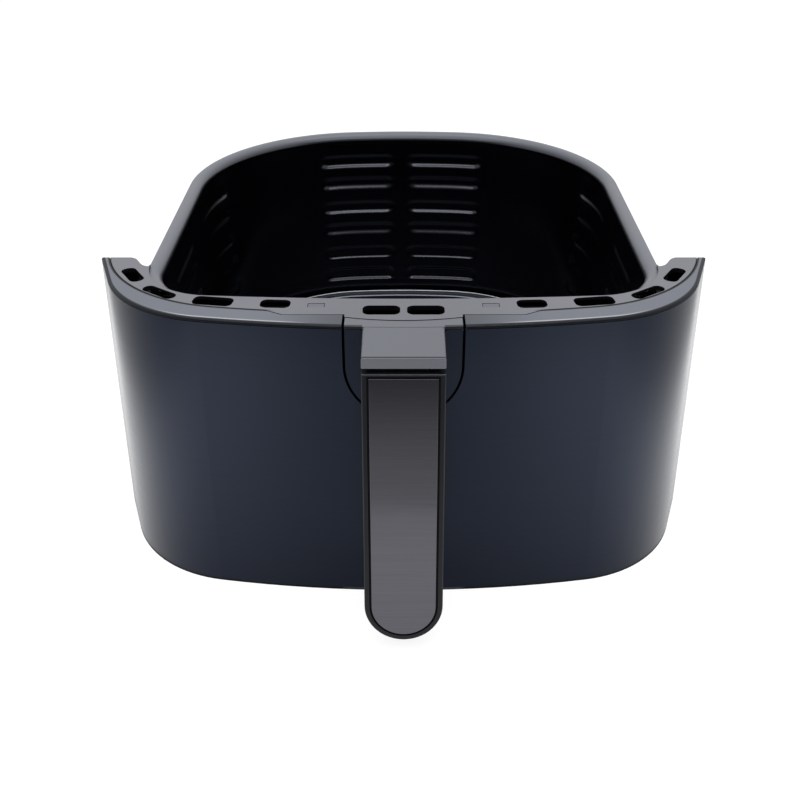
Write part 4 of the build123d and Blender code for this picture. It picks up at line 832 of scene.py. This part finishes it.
def floor():
    """Floor that reads as white to the camera with the drawer's shadow, and graded with painted
    shade to the rest.
    """
    half = 6.0
    mesh = bpy.data.meshes.new("floor")
    mesh.from_pydata([(-half, -half, 0), (half, -half, 0), (half, half, 0), (-half, half, 0)],
                     [], [(0, 1, 2, 3)])
    obj = bpy.data.objects.new("floor", mesh)
    bpy.context.scene.collection.objects.link(obj)
    shader = Shader("floor_white", (0.85, 0.85, 0.86), 0.9, specular=0.0)
    path = shader.add("ShaderNodeLightPath")
    here = shader.where()
    ahead = shader.axis(here, "Y")
    pale = shader.spread(ahead, 0, 1, *floor_span(FLOOR_FADE), smooth=True)
    edge = shader.spread(ahead, SHADE_STEP_TONE, 1, *floor_span(SHADE_STEP))
    across = shader.math("ABSOLUTE", shader.axis(here, "X"), 0)
    aside = shader.spread(across, CENTRE_TONE, 1, *NEAR_ASIDE, smooth=True)
    far = shader.spread(across, 1, FAR_ASIDE_TONE, *FAR_ASIDE, smooth=True)
    pale = shader.math("MULTIPLY", shader.math("MULTIPLY", pale, edge),
                       shader.math("MULTIPLY", aside, far))
    around = shader.mix(pale, (0.1, 0.1, 0.105), (0.85, 0.85, 0.86))
    shader.feed(shader.mix(path.outputs["Is Camera Ray"], around, (0.3, 0.3, 0.3)), "Base Color")
    shader.set("Emission Color", (1, 1, 1, 1))
    mirrored = shader.math("MULTIPLY", shader.math(
        "MULTIPLY", path.outputs["Is Glossy Ray"], pale), MIRROR_GLOW)
    seen = shader.math("MULTIPLY", path.outputs["Is Camera Ray"], CAMERA_GLOW)
    shader.feed(shader.math("ADD", mirrored, seen), "Emission Strength")
    mesh.materials.append(shader.mat)


def behind_camera(tree, path):
    """1 all round for the camera; for other rays, low where the unlit end of the studio is."""
    way = tree.nodes.new("ShaderNodeTexCoord")
    toward = tree.nodes.new("ShaderNodeVectorMath")
    toward.operation = "DOT_PRODUCT"
    toward.inputs[1].default_value = (0, -math.cos(DARK_END_TILT), math.sin(DARK_END_TILT))
    tree.links.new(way.outputs["Generated"], toward.inputs[0])
    fade = tree.nodes.new("ShaderNodeMapRange")
    fade.interpolation_type = "SMOOTHSTEP"
    fade.inputs["From Min"].default_value = DARK_END_FADE[0]
    fade.inputs["From Max"].default_value = DARK_END_FADE[1]
    fade.inputs["To Min"].default_value = 1.0
    fade.inputs["To Max"].default_value = DARK_END_LEVEL
    tree.links.new(toward.outputs["Value"], fade.inputs["Value"])
    seen = tree.nodes.new("ShaderNodeMath")
    seen.operation = "MAXIMUM"
    tree.links.new(fade.outputs[0], seen.inputs[0])
    tree.links.new(path.outputs["Is Camera Ray"], seen.inputs[1])
    return seen.outputs[0]


def studio_world(level):
    """White behind the drawer for camera and glossy rays, and a lower even light for the rest."""
    world = bpy.data.worlds.new("studio")
    bpy.context.scene.world = world
    world.use_nodes = True
    tree = world.node_tree
    tree.nodes.clear()
    out = tree.nodes.new("ShaderNodeOutputWorld")
    back = tree.nodes.new("ShaderNodeBackground")
    path = tree.nodes.new("ShaderNodeLightPath")
    either = tree.nodes.new("ShaderNodeMath")
    either.operation = "MAXIMUM"
    tree.links.new(path.outputs["Is Camera Ray"], either.inputs[0])
    tree.links.new(path.outputs["Is Glossy Ray"], either.inputs[1])
    strength = tree.nodes.new("ShaderNodeMapRange")
    strength.inputs["To Min"].default_value = level
    strength.inputs["To Max"].default_value = 1.0
    tree.links.new(either.outputs[0], strength.inputs["Value"])
    back.inputs["Color"].default_value = (1, 1, 1, 1)
    darker = tree.nodes.new("ShaderNodeMath")
    darker.operation = "MULTIPLY"
    tree.links.new(strength.outputs[0], darker.inputs[0])
    tree.links.new(behind_camera(tree, path), darker.inputs[1])
    tree.links.new(darker.outputs[0], back.inputs["Strength"])
    tree.links.new(back.outputs[0], out.inputs[0])


def softbox(name, location, target, size, power):
    data = bpy.data.lights.new(name, "AREA")
    data.shape = "RECTANGLE"
    data.size, data.size_y = size
    data.energy = power
    obj = bpy.data.objects.new(name, data)
    obj.location = location
    obj.rotation_euler = (Vector(target) - Vector(location)).to_track_quat("-Z", "Y").to_euler()
    bpy.context.scene.collection.objects.link(obj)


floor()
studio_world(0.55)
softbox("top", place(0, 150, 1500), place(0, 120, 0), (1.2, 0.9), 7.5)
softbox("front", place(0, -700, 1000), place(0, 120, 60), (1.4, 0.3), 5.5)

# ---- camera -----------------------------------------------------------------------------------
CAMERA_DROP_ANGLE = 31.5
cam_data = bpy.data.cameras.new("camera")
cam_data.sensor_width = 36.0
cam_data.lens = 47.25
cam_data.shift_x = -0.0045
cam_data.clip_start = 0.01
cam = bpy.data.objects.new("camera", cam_data)
cam.location = place(0.0, -411.0, 364.0)
cam.rotation_euler = (math.radians(90 - CAMERA_DROP_ANGLE), 0, 0)
bpy.context.scene.collection.objects.link(cam)
bpy.context.scene.camera = cam
bpy.context.scene.view_settings.view_transform = "Standard"
